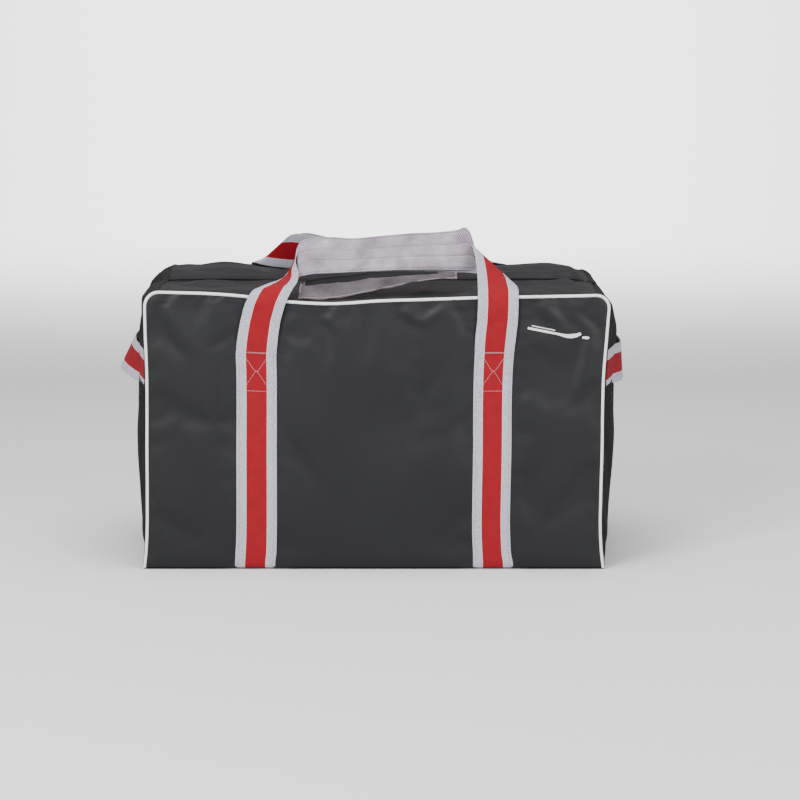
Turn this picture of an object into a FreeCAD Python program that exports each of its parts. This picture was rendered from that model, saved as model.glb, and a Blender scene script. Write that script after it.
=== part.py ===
"""Ice hockey equipment bag: a soft box of coated fabric with a zipped top, a piped seam round the front
and the back, two webbing carry handles sewn down both faces and under the base, and a webbing handle
on each end. Millimetres. +Z is up, +X runs along the bag, -Y is the front. The origin is the centre of
the footprint, at the underside of the webbing runs that the bag stands on.
"""
import FreeCAD
import Part
import math
import os
from FreeCAD import Vector as V

# ---- driving sizes of the bag
bag_length = 740.0        # over the piping, end to end
bag_depth = 430.0         # over the piping, front to back
bag_height = 440.0        # floor to the flat part of the top
fabric = 2.0              # coated fabric with its lining
corner_radius = 22.0      # piping centre line at the two top corners of each face
shoulder_inset = 1.0      # end panel's rounded top edge to the outside of the piping
end_bulge = 20.0          # how far an end panel swells beyond its seams
front_crown = 2.0         # rise of the front half of the top
back_crown = 10.0         # rise of the back half of the top

# ---- piping and seam binding
bead_radius = 2.5
bead_proud = 1.2          # piping stands this far out of the panel beside it
flange_width = 10.0
flange_thick = 1.0
binding_width = 9.0
binding_thick = 2.0
binding_clear = 0.2       # binding to the bead of the piping

# ---- webbing
web_width = 64.0
web_thick = 1.8
strap_offset = 190.0      # centre of each carrying strap from the middle of the bag
stitch_drop = 90.0        # top of the bag down to the sewn box, where each leg comes free
stitch_height = 62.0
stitch_band = 1.2         # width of one row of stitching
stitch_proud = 0.3

# ---- carry handles
leg_clear = 0.4           # leg to piping
leg_rise = 6.0            # crest of a leg above the top edge of the bag
leg_back = 62.0           # how far back it lies before it rises to the grip
leg_back_rise = 12.0
front_lean = (29.0, 4.0)  # how far the crest of each front leg, left and right, leans to the right
back_lean = (0.0, 0.0)
grip_inset = 88.0         # webbing in the grip, behind the face of the bag
grip_rise = 22.0          # underside of the webbing in the grip, above the top of the bag
fold_rise = 6.0           # where a leg turns up beside the webbing in the grip
grip_margin = 14.0        # sewn grip cover stops this far short of the folds
cut_margin = 5.0          # cutting shapes reach this far past what they cut
grip_pad_thick = 4.0
grip_cover_thick = 1.2
cover_clear = 0.2
hinge_clear = 0.4         # folding line of a leg in front of its webbing, and the gap along that line

# ---- wrap flap on the front grip
wrap_margin = 8.0         # wrap flap stops this far short of the grip cover
wrap_width = 54.0
wrap_thick = 1.6
wrap_tape_width = 18.0
wrap_tape_thick = 0.8
wrap_tape_inset = 4.0
wrap_hinge_gap = 0.8      # flap from its hinge line
wrap_drop_deg = 12.0
wrap_hinge_clear = 2.2

# ---- zip
zip_half = 343.0          # half the length of the zip
hem_width = 28.0          # flat edge of each half of the top
hem_gap = 6.0             # edge of the fabric from the middle of the zip
tape_width = 25.0
tape_thick = 1.0
coil_width = 4.0
coil_gap = 1.0            # coil from the middle of the zip
coil_height = 3.2
slider_length = 24.0
slider_width = 13.0
slider_thick = 2.0
slider_corner = 3.0
slider_clear = 0.4
slider_rest = 13.0        # centre of each slider from the middle, closed
divider_length = 6.0
divider_thick = 1.2
lug_place = 7.0           # pull hangs this far beyond the centre of the slider
lug_length = 4.8
lug_gap = 5.6
lug_thick = 1.4
lug_height = 5.4
lug_crown = 2.4           # pin's centre below the top of the lugs
pull_pin_radius = 0.9
pull_pin_clear = 0.08
pull_eye_radius = 2.3
pull_neck = 8.0
pull_length = 30.0
pull_thick = 1.6
pull_width = 8.0
pull_corner = 2.5
pull_overlap = 2.0        # blade of the pull onto its neck
pull_slot = 5.0
pull_slot_inset = 5.0
pull_slot_half = 1.6
stop_length = 4.0
stop_thick = 1.0
end_tab_length = 12.0
end_tab_width = 40.0

# ---- top opening
flap_end_gap = 0.4
flap_edge_inset = 1.0

# ---- end handles
end_web_drop = 142.0      # top of the bag down to the lower edge of the webbing
end_anchor_reach = 98.0   # sewn length at each end of an end handle
end_loop_gap = 0.6
end_loop_out = 36.0       # how far the free loop stands out of the end panel
end_anchor_clear = 0.05

# ---- vent eyelets in the end panels
eyelet_reach = 170.0      # from the middle of the end panel, front and back
eyelet_drop = 168.0       # top of the bag down to their centres
eyelet_bore = 4.0
eyelet_barrel = 0.5
eyelet_flange = 7.5
eyelet_flange_thick = 0.8

# ---- printed mark on the front: a plain stick and puck
mark_inset = 132.0        # its left end from the right end of the bag
mark_drop = 64.0          # top of the bag down to the underside of the stick
mark_thick = 0.4
mark_shaft = 74.0
mark_shaft_width = 4.6
mark_blade = 20.0
mark_blade_angle = 28.0
mark_blade_width = 5.5
mark_overlap = 1.0        # blade onto the end of the shaft
puck_length = 12.0
puck_height = 5.0
puck_offset = 3.0         # puck past the blade's tip and below the shaft

# ---- places worked out from the sizes above
half_length = bag_length / 2
half_depth = bag_depth / 2
stitch_top = bag_height - stitch_drop
grip_base = bag_height + grip_rise
end_web_bottom = bag_height - end_web_drop
eyelet_height = bag_height - eyelet_drop
mark_left = half_length - mark_inset
mark_height = bag_height - mark_drop
base_top = web_thick + fabric                      # the panels stand on the base panel
bead_x = half_length - bead_radius
bead_y = half_depth - bead_radius
bead_z = bag_height - bead_radius
face_y = half_depth - bead_proud                   # outer face of the front and back panels
panel_back = face_y - fabric
wall_x = half_length - 1.0                         # outer face of an end panel at its seams
gusset_y = bead_y - bead_radius                    # where the end panels meet the piping
flap_seam_x = half_length - corner_radius - bead_radius
strap_face = face_y + web_thick
leg_inner = half_depth + leg_clear
leg_mid = leg_inner + web_thick / 2
fold_y = leg_inner + web_thick + hinge_clear       # folding lines of the legs
fold_low_z = stitch_top + 2.0
fold_high_z = bag_height + leg_rise
span_y = half_depth - grip_inset
span_front = span_y + web_thick / 2                # the face that the foam and its cover are sewn to
pad_front = span_front + grip_pad_thick
cover_front = pad_front + cover_clear + grip_cover_thick
coil_low = bag_height - fabric - tape_thick
coil_top = coil_low + coil_height
slider_top = coil_top + slider_clear + slider_thick
pull_z = slider_top + lug_height - lug_crown
out_dir = os.path.join(os.getcwd(), "parts")


def box(x0, x1, y0, y1, z0, z1):
    """A box between two corners, given in any order."""
    low = V(min(x0, x1), min(y0, y1), min(z0, z1))
    return Part.makeBox(abs(x1 - x0), abs(y1 - y0), abs(z1 - z0), low)


def face_of(edges):
    """A flat face from edges given in order."""
    return Part.Face(Part.Wire(edges))


def polygon(points):
    return Part.Face(Part.makePolygon(points + [points[0]]))


def join(shapes):
    """One solid from solids that overlap or share faces."""
    whole = shapes[0].multiFuse(shapes[1:]) if len(shapes) > 1 else shapes[0]
    return whole.removeSplitter()


def other_side(shape):
    """The same piece on the back of the bag."""
    return shape.mirror(V(0, 0, 0), V(0, 1, 0))


def other_end(shape):
    """The same piece at the left end."""
    return shape.mirror(V(0, 0, 0), V(1, 0, 0))


def save(name, solids):
    """Writes one node, of one or more separate solids."""
    found = [s for shape in (solids if isinstance(solids, list) else [solids]) for s in shape.Solids]
    shape = found[0] if len(found) == 1 else Part.makeCompound(found)
    shape.exportStep(os.path.join(out_dir, name + ".step"))


def u_outline(inset):
    """Edges of an upside-down U in the XZ plane, inset from the piping's centre line, from left to right."""
    x, z = bead_x - inset, bead_z - inset
    r = corner_radius - inset
    s = r * (1 - math.sqrt(0.5))
    return [
        Part.LineSegment(V(-x, 0, base_top), V(-x, 0, z - r)).toShape(),
        Part.Arc(V(-x, 0, z - r), V(-x + s, 0, z - s), V(-x + r, 0, z)).toShape(),
        Part.LineSegment(V(-x + r, 0, z), V(x - r, 0, z)).toShape(),
        Part.Arc(V(x - r, 0, z), V(x - s, 0, z - s), V(x, 0, z - r)).toShape(),
        Part.LineSegment(V(x, 0, z - r), V(x, 0, base_top)).toShape(),
    ]


def u_face(inset):
    """The face inside that outline, closed along its foot."""
    edges = u_outline(inset)
    x = bead_x - inset
    return face_of(edges + [Part.LineSegment(V(x, 0, base_top), V(-x, 0, base_top)).toShape()])


def slab(face, y_near, thickness):
    """A flat piece on the front, from its outer face y_near back into the bag."""
    moved = face.copy()
    moved.translate(V(0, -y_near, 0))
    return moved.extrude(V(0, thickness, 0))


# ---- body of the bag
def front_panel():
    return slab(u_face(bead_radius), face_y, fabric)


def front_piping():
    """Round bead on the seam with the flat flange that is caught in it."""
    edges = [e.copy() for e in u_outline(0.0)]
    for edge in edges:
        edge.translate(V(0, -bead_y, 0))
    path = Part.Wire(edges)
    ring = Part.makeCircle(bead_radius, V(-bead_x, -bead_y, base_top), V(0, 0, 1))
    bead = path.makePipeShell([Part.Wire([ring])], True, False)
    whole = slab(u_face(0.0), panel_back, flange_thick)
    flange = whole.cut(slab(u_face(flange_width), panel_back, flange_thick))
    return join([bead, flange])


def front_binding():
    """Tape that covers the raw seam inside the bag."""
    near = panel_back - flange_thick
    start = bead_radius + binding_clear
    outer = slab(u_face(start), near, binding_thick)
    return outer.cut(slab(u_face(start + binding_width), near, binding_thick))


def end_arc(offset, reach, z):
    """Arc of the right end panel in plan: its outer face moved out by offset, as far as reach each way."""
    radius = (gusset_y ** 2 + end_bulge ** 2) / (2 * end_bulge)
    centre = wall_x + end_bulge - radius
    r = radius + offset
    ends = [V(centre + math.sqrt(r * r - y * y), y, z) for y in (-reach, reach)]
    return ends[0], V(centre + r, 0, z), ends[1]


def end_block(offset, z_top, edge_radius):
    """Solid with the outline of the end panel, its top edge rounded over."""
    a, m, b = end_arc(offset, gusset_y, base_top)
    c, d = V(flap_seam_x, gusset_y, base_top), V(flap_seam_x, -gusset_y, base_top)
    edges = [Part.Arc(a, m, b).toShape(), Part.makeLine(b, c), Part.makeLine(c, d), Part.makeLine(d, a)]
    block = face_of(edges).extrude(V(0, 0, z_top - base_top))
    def is_top_arc(edge):
        bounds = edge.BoundBox
        level = abs(bounds.ZMin - z_top) < 0.01 and abs(bounds.ZMax - z_top) < 0.01
        return level and bounds.XMin > flap_seam_x + 1 and bounds.YLength > gusset_y
    return block.makeFillet(edge_radius, [e for e in block.Edges if is_top_arc(e)])


def eyelet_frame():
    """Place and outward direction of each vent eyelet in the right end panel."""
    radius = (gusset_y ** 2 + end_bulge ** 2) / (2 * end_bulge)
    centre = wall_x + end_bulge - radius
    frames = []
    for y in (-eyelet_reach, eyelet_reach):
        x = centre + math.sqrt(radius * radius - y * y)
        frames.append((V(x, y, eyelet_height), V(x - centre, y, 0).normalize()))
    return frames


def right_end_panel():
    shell_radius = corner_radius + bead_radius - shoulder_inset
    shell = end_block(0.0, bag_height, shell_radius)
    hollow = end_block(-fabric, bag_height - fabric, shell_radius - fabric)
    panel = shell.cut(hollow)
    for place, out in eyelet_frame():
        hole = Part.makeCylinder(eyelet_bore + eyelet_barrel, 4 * fabric, place - out * 2 * fabric, out)
        panel = panel.cut(hole)
    return panel


def right_eyelets():
    """Rolled metal rings through the end panel."""
    rings = []
    outer = eyelet_bore + eyelet_barrel
    gap = 0.05
    for place, out in eyelet_frame():
        barrel = Part.makeCylinder(outer, fabric + 2 * gap, place - out * (fabric + gap), out)
        flanges = [
            Part.makeCylinder(eyelet_flange, eyelet_flange_thick, place + out * gap, out),
            Part.makeCylinder(eyelet_flange, eyelet_flange_thick, place - out * (fabric + gap), out * -1),
        ]
        ring = join([barrel] + flanges)
        through = Part.makeCylinder(eyelet_bore, 6 * fabric, place - out * 3 * fabric, out)
        rings.append(ring.cut(through))
    return rings


def base_panel():
    """Flat base with the outline of the whole bag."""
    a, m, b = end_arc(0.0, gusset_y, web_thick)
    turned = [V(-p.x, p.y, p.z) for p in (b, m, a)]
    points = [b, V(bead_x, face_y, web_thick), V(-bead_x, face_y, web_thick), turned[0]]
    back = [Part.makeLine(points[i], points[i + 1]) for i in range(3)]
    points = [turned[2], V(-bead_x, -face_y, web_thick), V(bead_x, -face_y, web_thick), a]
    front = [Part.makeLine(points[i], points[i + 1]) for i in range(3)]
    arcs = [Part.Arc(a, m, b).toShape(), Part.Arc(*turned).toShape()]
    return face_of([arcs[0]] + back + [arcs[1]] + front).extrude(V(0, 0, fabric))


# ---- webbing sewn to the bag
def face_strap(x):
    return box(x - web_width / 2, x + web_width / 2, -strap_face, -face_y, web_thick, stitch_top + 1.0)


def base_strap(x):
    return box(x - web_width / 2, x + web_width / 2, -strap_face, strap_face, 0, web_thick)


def box_stitches(x):
    """Sewn box with a cross that fastens a strap to the face of the bag."""
    half = web_width / 4 + stitch_band
    low, high = stitch_top - stitch_height, stitch_top
    near, far = -(strap_face + stitch_proud), -strap_face
    rows = [box(x - half, x + half, near, far, z, z + stitch_band) for z in (low, high - stitch_band)]
    cross_low, cross_high = low + stitch_height / 4, high - stitch_height / 8
    for side in (-1, 1):
        run = V(side * 2 * half, 0, cross_high - cross_low)
        over = V(0, 0, stitch_band)
        start = V(x - side * half, near, cross_low)
        slant = polygon([start, start + run, start + run + over, start + over])
        rows.append(slant.extrude(V(0, far - near, 0)))
    return [rows[0], rows[1], join(rows[2:])]


def printed_mark():
    """Plain stick with a puck beside it, a thin printed film."""
    near, far = -(face_y + mark_thick), -face_y
    shaft_end = mark_left + mark_shaft
    shaft = box(mark_left, shaft_end, near, far, mark_height, mark_height + mark_shaft_width)
    turn = math.radians(mark_blade_angle)
    run = V(mark_blade * math.cos(turn), 0, mark_blade * math.sin(turn))
    start = V(shaft_end - mark_overlap, near, mark_height)
    thick = V(0, 0, mark_blade_width)
    blade = polygon([start, start + run, start + run + thick, start + thick])
    blade = blade.extrude(V(0, mark_thick, 0))
    puck_end, puck_low = start.x + run.x + puck_offset, mark_height - puck_offset
    puck = box(puck_end - puck_length, puck_end, near, far, puck_low, puck_low + puck_height)
    return [join([shaft, blade]), puck.cut(blade)]


# ---- carry handles
def bent_strip(points, thick, x0, x1):
    """A strip of constant thickness along a line of (y, z) points, from x0 to x1."""
    def normal(a, b):
        run = math.hypot(b[0] - a[0], b[1] - a[1])
        return ((b[1] - a[1]) / run, -(b[0] - a[0]) / run)
    sides = []
    for sign in (1, -1):
        line = []
        for i, p in enumerate(points):
            near = [normal(points[j], points[j + 1]) for j in (i - 1, i) if 0 <= j < len(points) - 1]
            n = (sum(m[0] for m in near), sum(m[1] for m in near))
            scale = sign * thick / 2 / (n[0] * near[0][0] + n[1] * near[0][1])
            line.append(V(x0, p[0] + n[0] * scale, p[1] + n[1] * scale))
        sides.append(line)
    return polygon(sides[0] + sides[1][::-1]).extrude(V(x1 - x0, 0, 0))


def handle_leg(x, lean):
    """Free webbing from the sewn box up to the top edge of the bag."""
    low, high, half = fold_low_z + hinge_clear, fold_high_z - hinge_clear, web_width / 2
    y = -(leg_inner + web_thick)
    foot = [V(x - half, y, low), V(x + half, y, low)]
    head = [V(x + lean + half, y, high), V(x + lean - half, y, high)]
    return polygon(foot + head).extrude(V(0, web_thick, 0))


def grip_leg(x, inward):
    """The leg from the top edge back to the grip, where a slanting fold turns it along the handle."""
    z = fold_high_z + hinge_clear + web_thick / 2
    rise_y = -(span_y + web_thick)
    points = [
        (-(leg_inner + web_thick), z),
        (-(leg_inner + web_thick) + leg_back, z + leg_back_rise),
        (rise_y, grip_base),
        (rise_y, grip_base + web_width),
    ]
    half = web_width / 2
    strip = bent_strip(points, web_thick, x - half, x + half)
    start, end = x - inward * half, x + inward * half
    past, beyond = grip_base + web_width + cut_margin, start - inward * cut_margin
    y = rise_y - web_thick
    above_fold = polygon([
        V(start, y, grip_base), V(end, y, grip_base + web_width),
        V(end, y, past), V(beyond, y, past), V(beyond, y, grip_base),
    ])
    return strip.cut(above_fold.extrude(V(0, 2 * web_thick, 0)))


def fold_ends(lean):
    """Where the slanting folds start and end, left and right, along the handle."""
    left, right, half = -strap_offset + lean[0], strap_offset + lean[1], web_width / 2
    return left - half, left + half, right - half, right + half


def handle_span(lean):
    """Webbing across the handle, folded at each end to meet its legs."""
    low_left, high_left, high_right, low_right = fold_ends(lean)
    z0, z1 = grip_base, grip_base + web_width
    y = -(span_y + web_thick / 2)
    face = polygon([V(low_left, y, z0), V(low_right, y, z0), V(high_right, y, z1), V(high_left, y, z1)])
    return face.extrude(V(0, web_thick, 0))


def grip_reach(lean):
    """Left and right ends of the sewn grip cover."""
    ends = fold_ends(lean)
    return ends[1] + grip_margin, ends[2] - grip_margin


def grip_pad(lean):
    """Foam on the front of the span, inside the grip cover."""
    x0, x1 = grip_reach(lean)
    return box(x0, x1, -pad_front, -span_front, grip_base + 1.0, grip_base + web_width - 1.0)


def grip_cover(lean):
    """Twill cover over the foam, turned round both edges of the span."""
    x0, x1 = grip_reach(lean)
    z0, z1 = grip_base - cover_clear, grip_base + web_width + cover_clear
    t = grip_cover_thick
    back = -(span_y - web_thick / 2)
    inside = box(x0, x1, -cover_front + t, back, z0, z1)
    return box(x0, x1, -cover_front, back, z0 - t, z1 + t).cut(inside)


def wrap_place():
    """Hinge line of the wrap flap, just in front of the lower edge of the grip."""
    return V(0, -cover_front - wrap_hinge_clear, grip_base - cover_clear - grip_cover_thick)


def wrap_layer(start, width, near, thick, margin):
    """One layer of the wrap flap, modelled level and then dropped about its hinge."""
    hinge = wrap_place()
    x0, x1 = grip_reach(front_lean)
    y, z = hinge.y - start, hinge.z + near
    layer = box(x0 + margin, x1 - margin, y, y - width, z, z + thick)
    layer.rotate(hinge, V(1, 0, 0), wrap_drop_deg)
    return layer


# ---- top opening and zip
def front_flap(crown):
    """Front half of the top: crowned fabric with a flat hem along the zip."""
    y0, y1, y2 = -(gusset_y - flap_edge_inset), -(hem_gap + hem_width), -hem_gap
    z1, z0 = bag_height, bag_height - fabric
    mid = (y0 + y1) / 2

    def at(y, z):
        return V(-flap_seam_x + flap_end_gap, y, z)
    edges = [
        Part.Arc(at(y0, z1), at(mid, z1 + crown), at(y1, z1)).toShape(),
        Part.makeLine(at(y1, z1), at(y2, z1)),
        Part.makeLine(at(y2, z1), at(y2, z0)),
        Part.makeLine(at(y2, z0), at(y1, z0)),
        Part.Arc(at(y1, z0), at(mid, z0 + crown), at(y0, z0)).toShape(),
        Part.makeLine(at(y0, z0), at(y0, z1)),
    ]
    return face_of(edges).extrude(V(2 * (flap_seam_x - flap_end_gap), 0, 0))


def front_tape():
    near = -(coil_gap + coil_width)
    return box(-zip_half, zip_half, near - tape_width, near, coil_low, coil_low + tape_thick)


def front_coil():
    """Nylon coil along the edge of the tape."""
    return box(-zip_half, zip_half, -(coil_gap + coil_width), -coil_gap, coil_low, coil_top)


def front_zip_stops():
    """Clamped stop at each end of the coil."""
    near, far = -(coil_gap + coil_width), -coil_gap
    stop = box(zip_half - stop_length, zip_half, near, far, coil_top, coil_top + stop_thick)
    return [stop, other_end(stop)]


def slider(x, out):
    """Slider: plate over the coils, divider between them and two lugs for the pull, out towards its end."""
    low = coil_top + slider_clear
    long, wide = slider_length / 2, slider_width / 2
    plate = box(x - long, x + long, -wide, wide, low, slider_top)
    upright = [e for e in plate.Edges if e.BoundBox.ZLength > slider_thick * 0.9]
    plate = plate.makeFillet(slider_corner, upright)
    depth = coil_height - slider_clear
    long, wide = divider_length / 2, divider_thick / 2
    divider = box(x - long, x + long, -wide, wide, low - depth, low)
    parts = [plate, divider]
    lug_x = x + out * lug_place
    x0, x1, z = lug_x - lug_length / 2, lug_x + lug_length / 2, slider_top + lug_height
    for side in (-1, 1):
        y = side * lug_gap / 2
        parts.append(box(x0, x1, y, y + side * lug_thick, slider_top, z))
    return join(parts).cut(pull_pin(lug_x))


def pull_pin(x):
    reach = lug_gap / 2 + lug_thick
    return Part.makeCylinder(pull_pin_radius, 2 * reach, V(x, -reach, pull_z), V(0, 1, 0))


def pull_tab(x, out):
    """Tab that hangs on the pin and lies along the zip, pointing away from the middle."""
    z0, z1 = pull_z - pull_thick / 2, pull_z + pull_thick / 2
    half = lug_gap / 2 - slider_clear
    eye = Part.makeCylinder(pull_eye_radius, 2 * half, V(x, -half, pull_z), V(0, 1, 0))
    neck = box(x, x + out * pull_neck, -half, half, z0, z1)
    start, end, wide = x + out * (pull_neck - pull_overlap), x + out * pull_length, pull_width / 2
    blade = box(start, end, -wide, wide, z0, z1)
    blade = blade.makeFillet(pull_corner, [e for e in blade.Edges if e.BoundBox.ZLength > pull_thick * 0.9])
    bore = pull_pin_radius + pull_pin_clear
    hole = Part.makeCylinder(bore, 2 * pull_width, V(x, -pull_width, pull_z), V(0, 1, 0))
    slot_start = x + out * (pull_length - pull_slot_inset)
    slot = box(slot_start, slot_start - out * pull_slot, -pull_slot_half, pull_slot_half, z0, z1)
    return join([eye, neck, blade]).cut(hole).cut(slot)


def zip_end_tab():
    """Patch of webbing sewn over the end of the zip, at the right end."""
    x = flap_seam_x + flap_end_gap
    half, top = end_tab_width / 2, bag_height + web_thick
    return box(x, x + end_tab_length, -half, half, bag_height, top)


# ---- end handles
def end_web(offset, y0, y1):
    """Webbing that lies on the right end panel between two places across it."""
    radius = (gusset_y ** 2 + end_bulge ** 2) / (2 * end_bulge)
    centre = wall_x + end_bulge - radius
    sides = []
    for r in (radius + offset, radius + offset + web_thick):
        across = (y0, (y0 + y1) / 2, y1)
        sides.append([V(centre + math.sqrt(r * r - y * y), y, end_web_bottom) for y in across])
    inner, outer = sides
    edges = [
        Part.Arc(*inner).toShape(), Part.makeLine(inner[2], outer[2]),
        Part.Arc(outer[2], outer[1], outer[0]).toShape(), Part.makeLine(outer[0], inner[0]),
    ]
    return face_of(edges).extrude(V(0, 0, web_width))


def right_end_anchors():
    """The two sewn ends of the end handle."""
    reach = gusset_y - end_anchor_reach
    return [end_web(end_anchor_clear, -gusset_y, -reach), end_web(end_anchor_clear, reach, gusset_y)]


def right_end_loop():
    """The free middle of the end handle, standing out of the end panel."""
    reach = gusset_y - end_anchor_reach - end_loop_gap
    seat = end_arc(end_anchor_clear + 0.4, reach, end_web_bottom)
    out = wall_x + end_bulge + end_loop_out
    inner = [seat[0], V(out, 0, end_web_bottom), seat[2]]
    outer = [p + V(web_thick, 0, 0) for p in inner]
    edges = [
        Part.Arc(*inner).toShape(), Part.makeLine(inner[2], outer[2]),
        Part.Arc(outer[2], outer[1], outer[0]).toShape(), Part.makeLine(outer[0], inner[0]),
    ]
    return face_of(edges).extrude(V(0, 0, web_width))


def build():
    os.makedirs("parts", exist_ok=True)
    save("front_panel", front_panel())
    save("back_panel", other_side(front_panel()))
    save("front_piping", front_piping())
    save("back_piping", other_side(front_piping()))
    save("front_seam_binding", front_binding())
    save("back_seam_binding", other_side(front_binding()))
    save("base_panel", base_panel())
    save("right_end_panel", right_end_panel())
    save("left_end_panel", other_end(right_end_panel()))
    save("right_vent_eyelets", right_eyelets())
    save("left_vent_eyelets", [other_end(ring) for ring in right_eyelets()])
    save("printed_mark", printed_mark())

    for i, name in enumerate(("left", "right")):
        out = 2 * i - 1
        x = out * strap_offset
        save("front_" + name + "_strap", face_strap(x))
        save("back_" + name + "_strap", other_side(face_strap(x)))
        save("base_" + name + "_strap", base_strap(x))
        save("front_" + name + "_leg", handle_leg(x, front_lean[i]))
        save("back_" + name + "_leg", other_side(handle_leg(x, back_lean[i])))
        save("front_grip_" + name + "_leg", grip_leg(x + front_lean[i], -out))
        save("back_grip_" + name + "_leg", other_side(grip_leg(x + back_lean[i], -out)))
        slider_x = out * slider_rest
        pull_x = slider_x + out * lug_place
        save(name + "_slider", slider(slider_x, out))
        save(name + "_pull_pin", pull_pin(pull_x))
        save(name + "_pull_tab", pull_tab(pull_x, out))
    stitches = box_stitches(-strap_offset) + box_stitches(strap_offset)
    save("front_box_stitching", stitches)
    save("back_box_stitching", [other_side(s) for s in stitches])

    save("front_handle_span", handle_span(front_lean))
    save("back_handle_span", other_side(handle_span(back_lean)))
    save("front_grip_pad", grip_pad(front_lean))
    save("back_grip_pad", other_side(grip_pad(back_lean)))
    save("front_grip_cover", grip_cover(front_lean))
    save("back_grip_cover", other_side(grip_cover(back_lean)))
    save("wrap_flap", wrap_layer(wrap_hinge_gap, wrap_width, -wrap_thick / 2, wrap_thick, wrap_margin))
    tape = (wrap_hinge_gap + wrap_tape_inset, wrap_tape_width, wrap_thick / 2, wrap_tape_thick)
    save("wrap_hook_tape", wrap_layer(*tape, 2 * wrap_margin))

    save("front_top_flap", front_flap(front_crown))
    save("back_top_flap", other_side(front_flap(back_crown)))
    save("front_zip_tape", front_tape())
    save("back_zip_tape", other_side(front_tape()))
    save("front_zip_coil", front_coil())
    save("back_zip_coil", other_side(front_coil()))
    save("front_zip_stops", front_zip_stops())
    save("back_zip_stops", [other_side(s) for s in front_zip_stops()])
    save("right_zip_end_tab", zip_end_tab())
    save("left_zip_end_tab", other_end(zip_end_tab()))

    save("right_end_handle_anchors", right_end_anchors())
    save("left_end_handle_anchors", [other_end(s) for s in right_end_anchors()])
    save("right_end_handle_loop", right_end_loop())
    save("left_end_handle_loop", other_end(right_end_loop()))


build()
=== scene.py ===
"""Ice hockey equipment bag: the sewn shell, piping, webbing, grips and zip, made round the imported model.

Metres, in the model's own frame: +X along the bag, -Y the front, +Z up.
"""
import bpy
import math
import numpy as np
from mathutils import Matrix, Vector
from mathutils.bvhtree import BVHTree


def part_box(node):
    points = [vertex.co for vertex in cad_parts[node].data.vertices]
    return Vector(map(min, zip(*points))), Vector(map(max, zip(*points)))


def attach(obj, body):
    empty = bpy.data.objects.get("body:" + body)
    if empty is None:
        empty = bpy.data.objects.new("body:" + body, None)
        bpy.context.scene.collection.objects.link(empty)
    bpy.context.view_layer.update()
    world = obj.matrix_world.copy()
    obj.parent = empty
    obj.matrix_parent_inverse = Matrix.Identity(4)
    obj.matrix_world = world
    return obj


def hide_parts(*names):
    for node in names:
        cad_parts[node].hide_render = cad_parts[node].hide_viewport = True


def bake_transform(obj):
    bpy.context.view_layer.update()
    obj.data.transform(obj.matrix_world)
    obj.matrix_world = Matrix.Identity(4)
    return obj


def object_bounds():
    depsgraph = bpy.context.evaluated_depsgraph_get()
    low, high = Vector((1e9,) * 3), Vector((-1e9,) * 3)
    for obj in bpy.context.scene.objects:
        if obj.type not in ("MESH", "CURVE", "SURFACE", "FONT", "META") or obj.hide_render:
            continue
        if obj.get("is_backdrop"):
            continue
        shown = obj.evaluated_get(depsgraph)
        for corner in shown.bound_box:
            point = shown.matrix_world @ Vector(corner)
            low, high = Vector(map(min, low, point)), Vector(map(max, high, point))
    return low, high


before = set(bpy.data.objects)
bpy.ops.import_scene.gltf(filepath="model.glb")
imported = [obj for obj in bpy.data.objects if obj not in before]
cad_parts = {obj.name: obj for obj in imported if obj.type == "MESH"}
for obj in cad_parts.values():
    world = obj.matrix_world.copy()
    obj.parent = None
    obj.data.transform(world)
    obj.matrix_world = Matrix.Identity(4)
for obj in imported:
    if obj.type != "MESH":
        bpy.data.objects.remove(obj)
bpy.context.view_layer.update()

MM = 0.001

# ---- places taken from the frame
panel_low, panel_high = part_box("front_panel")
piping_low, piping_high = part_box("front_piping")
end_low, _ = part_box("right_end_panel")
_, flap_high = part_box("front_top_flap")
strap_low, strap_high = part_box("front_right_strap")
coil_low, coil_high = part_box("front_zip_coil")

bead = (piping_high.y - piping_low.y) / 2          # radius of the piping
seam_y = -(piping_low.y + bead)                    # centre line of the piping, front and back
seam_x = piping_high.x - bead
top_z = piping_high.z
seam_z = top_z - bead
face_y = -panel_low.y                              # outer face of the front panel
foot_z = panel_low.z
end_x = piping_high.x - 1.0 * MM                   # end panels at their seams
corner = 22.0 * MM                                 # piping's corner radius
shoulder = corner + bead - 1.0 * MM
flap_end = end_low.x                               # where the top opening ends
hem_edge = -flap_high.y                            # free edge of the top, beside the zip
web = strap_high.x - strap_low.x                   # width of the webbing
strap_x = (strap_high.x + strap_low.x) / 2
left_x = -strap_x - 3 * MM                         # the left straps sit a little further out
cloth = 1.6 * MM
leg_y = 0.2176                                     # legs of the carrying handles, where they hang free
box_low, box_top = 0.288, 0.3485                   # sewn box at the top of each strap
cross_low, cross_high = 0.299, 0.3385              # the cross sewn in it


# ---- small tools
def smooth(t):
    t = np.clip(t, 0.0, 1.0)
    return t * t * (3 - 2 * t)


def through(knots, values, at):
    """A smooth curve through a few given values."""
    knots, values = np.asarray(knots, float), np.asarray(values, float)
    slopes = np.gradient(values, knots)
    at = np.clip(at, knots[0], knots[-1])
    i = np.clip(np.searchsorted(knots, at) - 1, 0, len(knots) - 2)
    step = knots[i + 1] - knots[i]
    t = (at - knots[i]) / step
    a, b = values[i], values[i + 1]
    return (a * (1 + 2 * t) * (1 - t) ** 2 + b * t * t * (3 - 2 * t)
            + step * (slopes[i] * t * (1 - t) ** 2 - slopes[i + 1] * t * t * (1 - t)))


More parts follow.
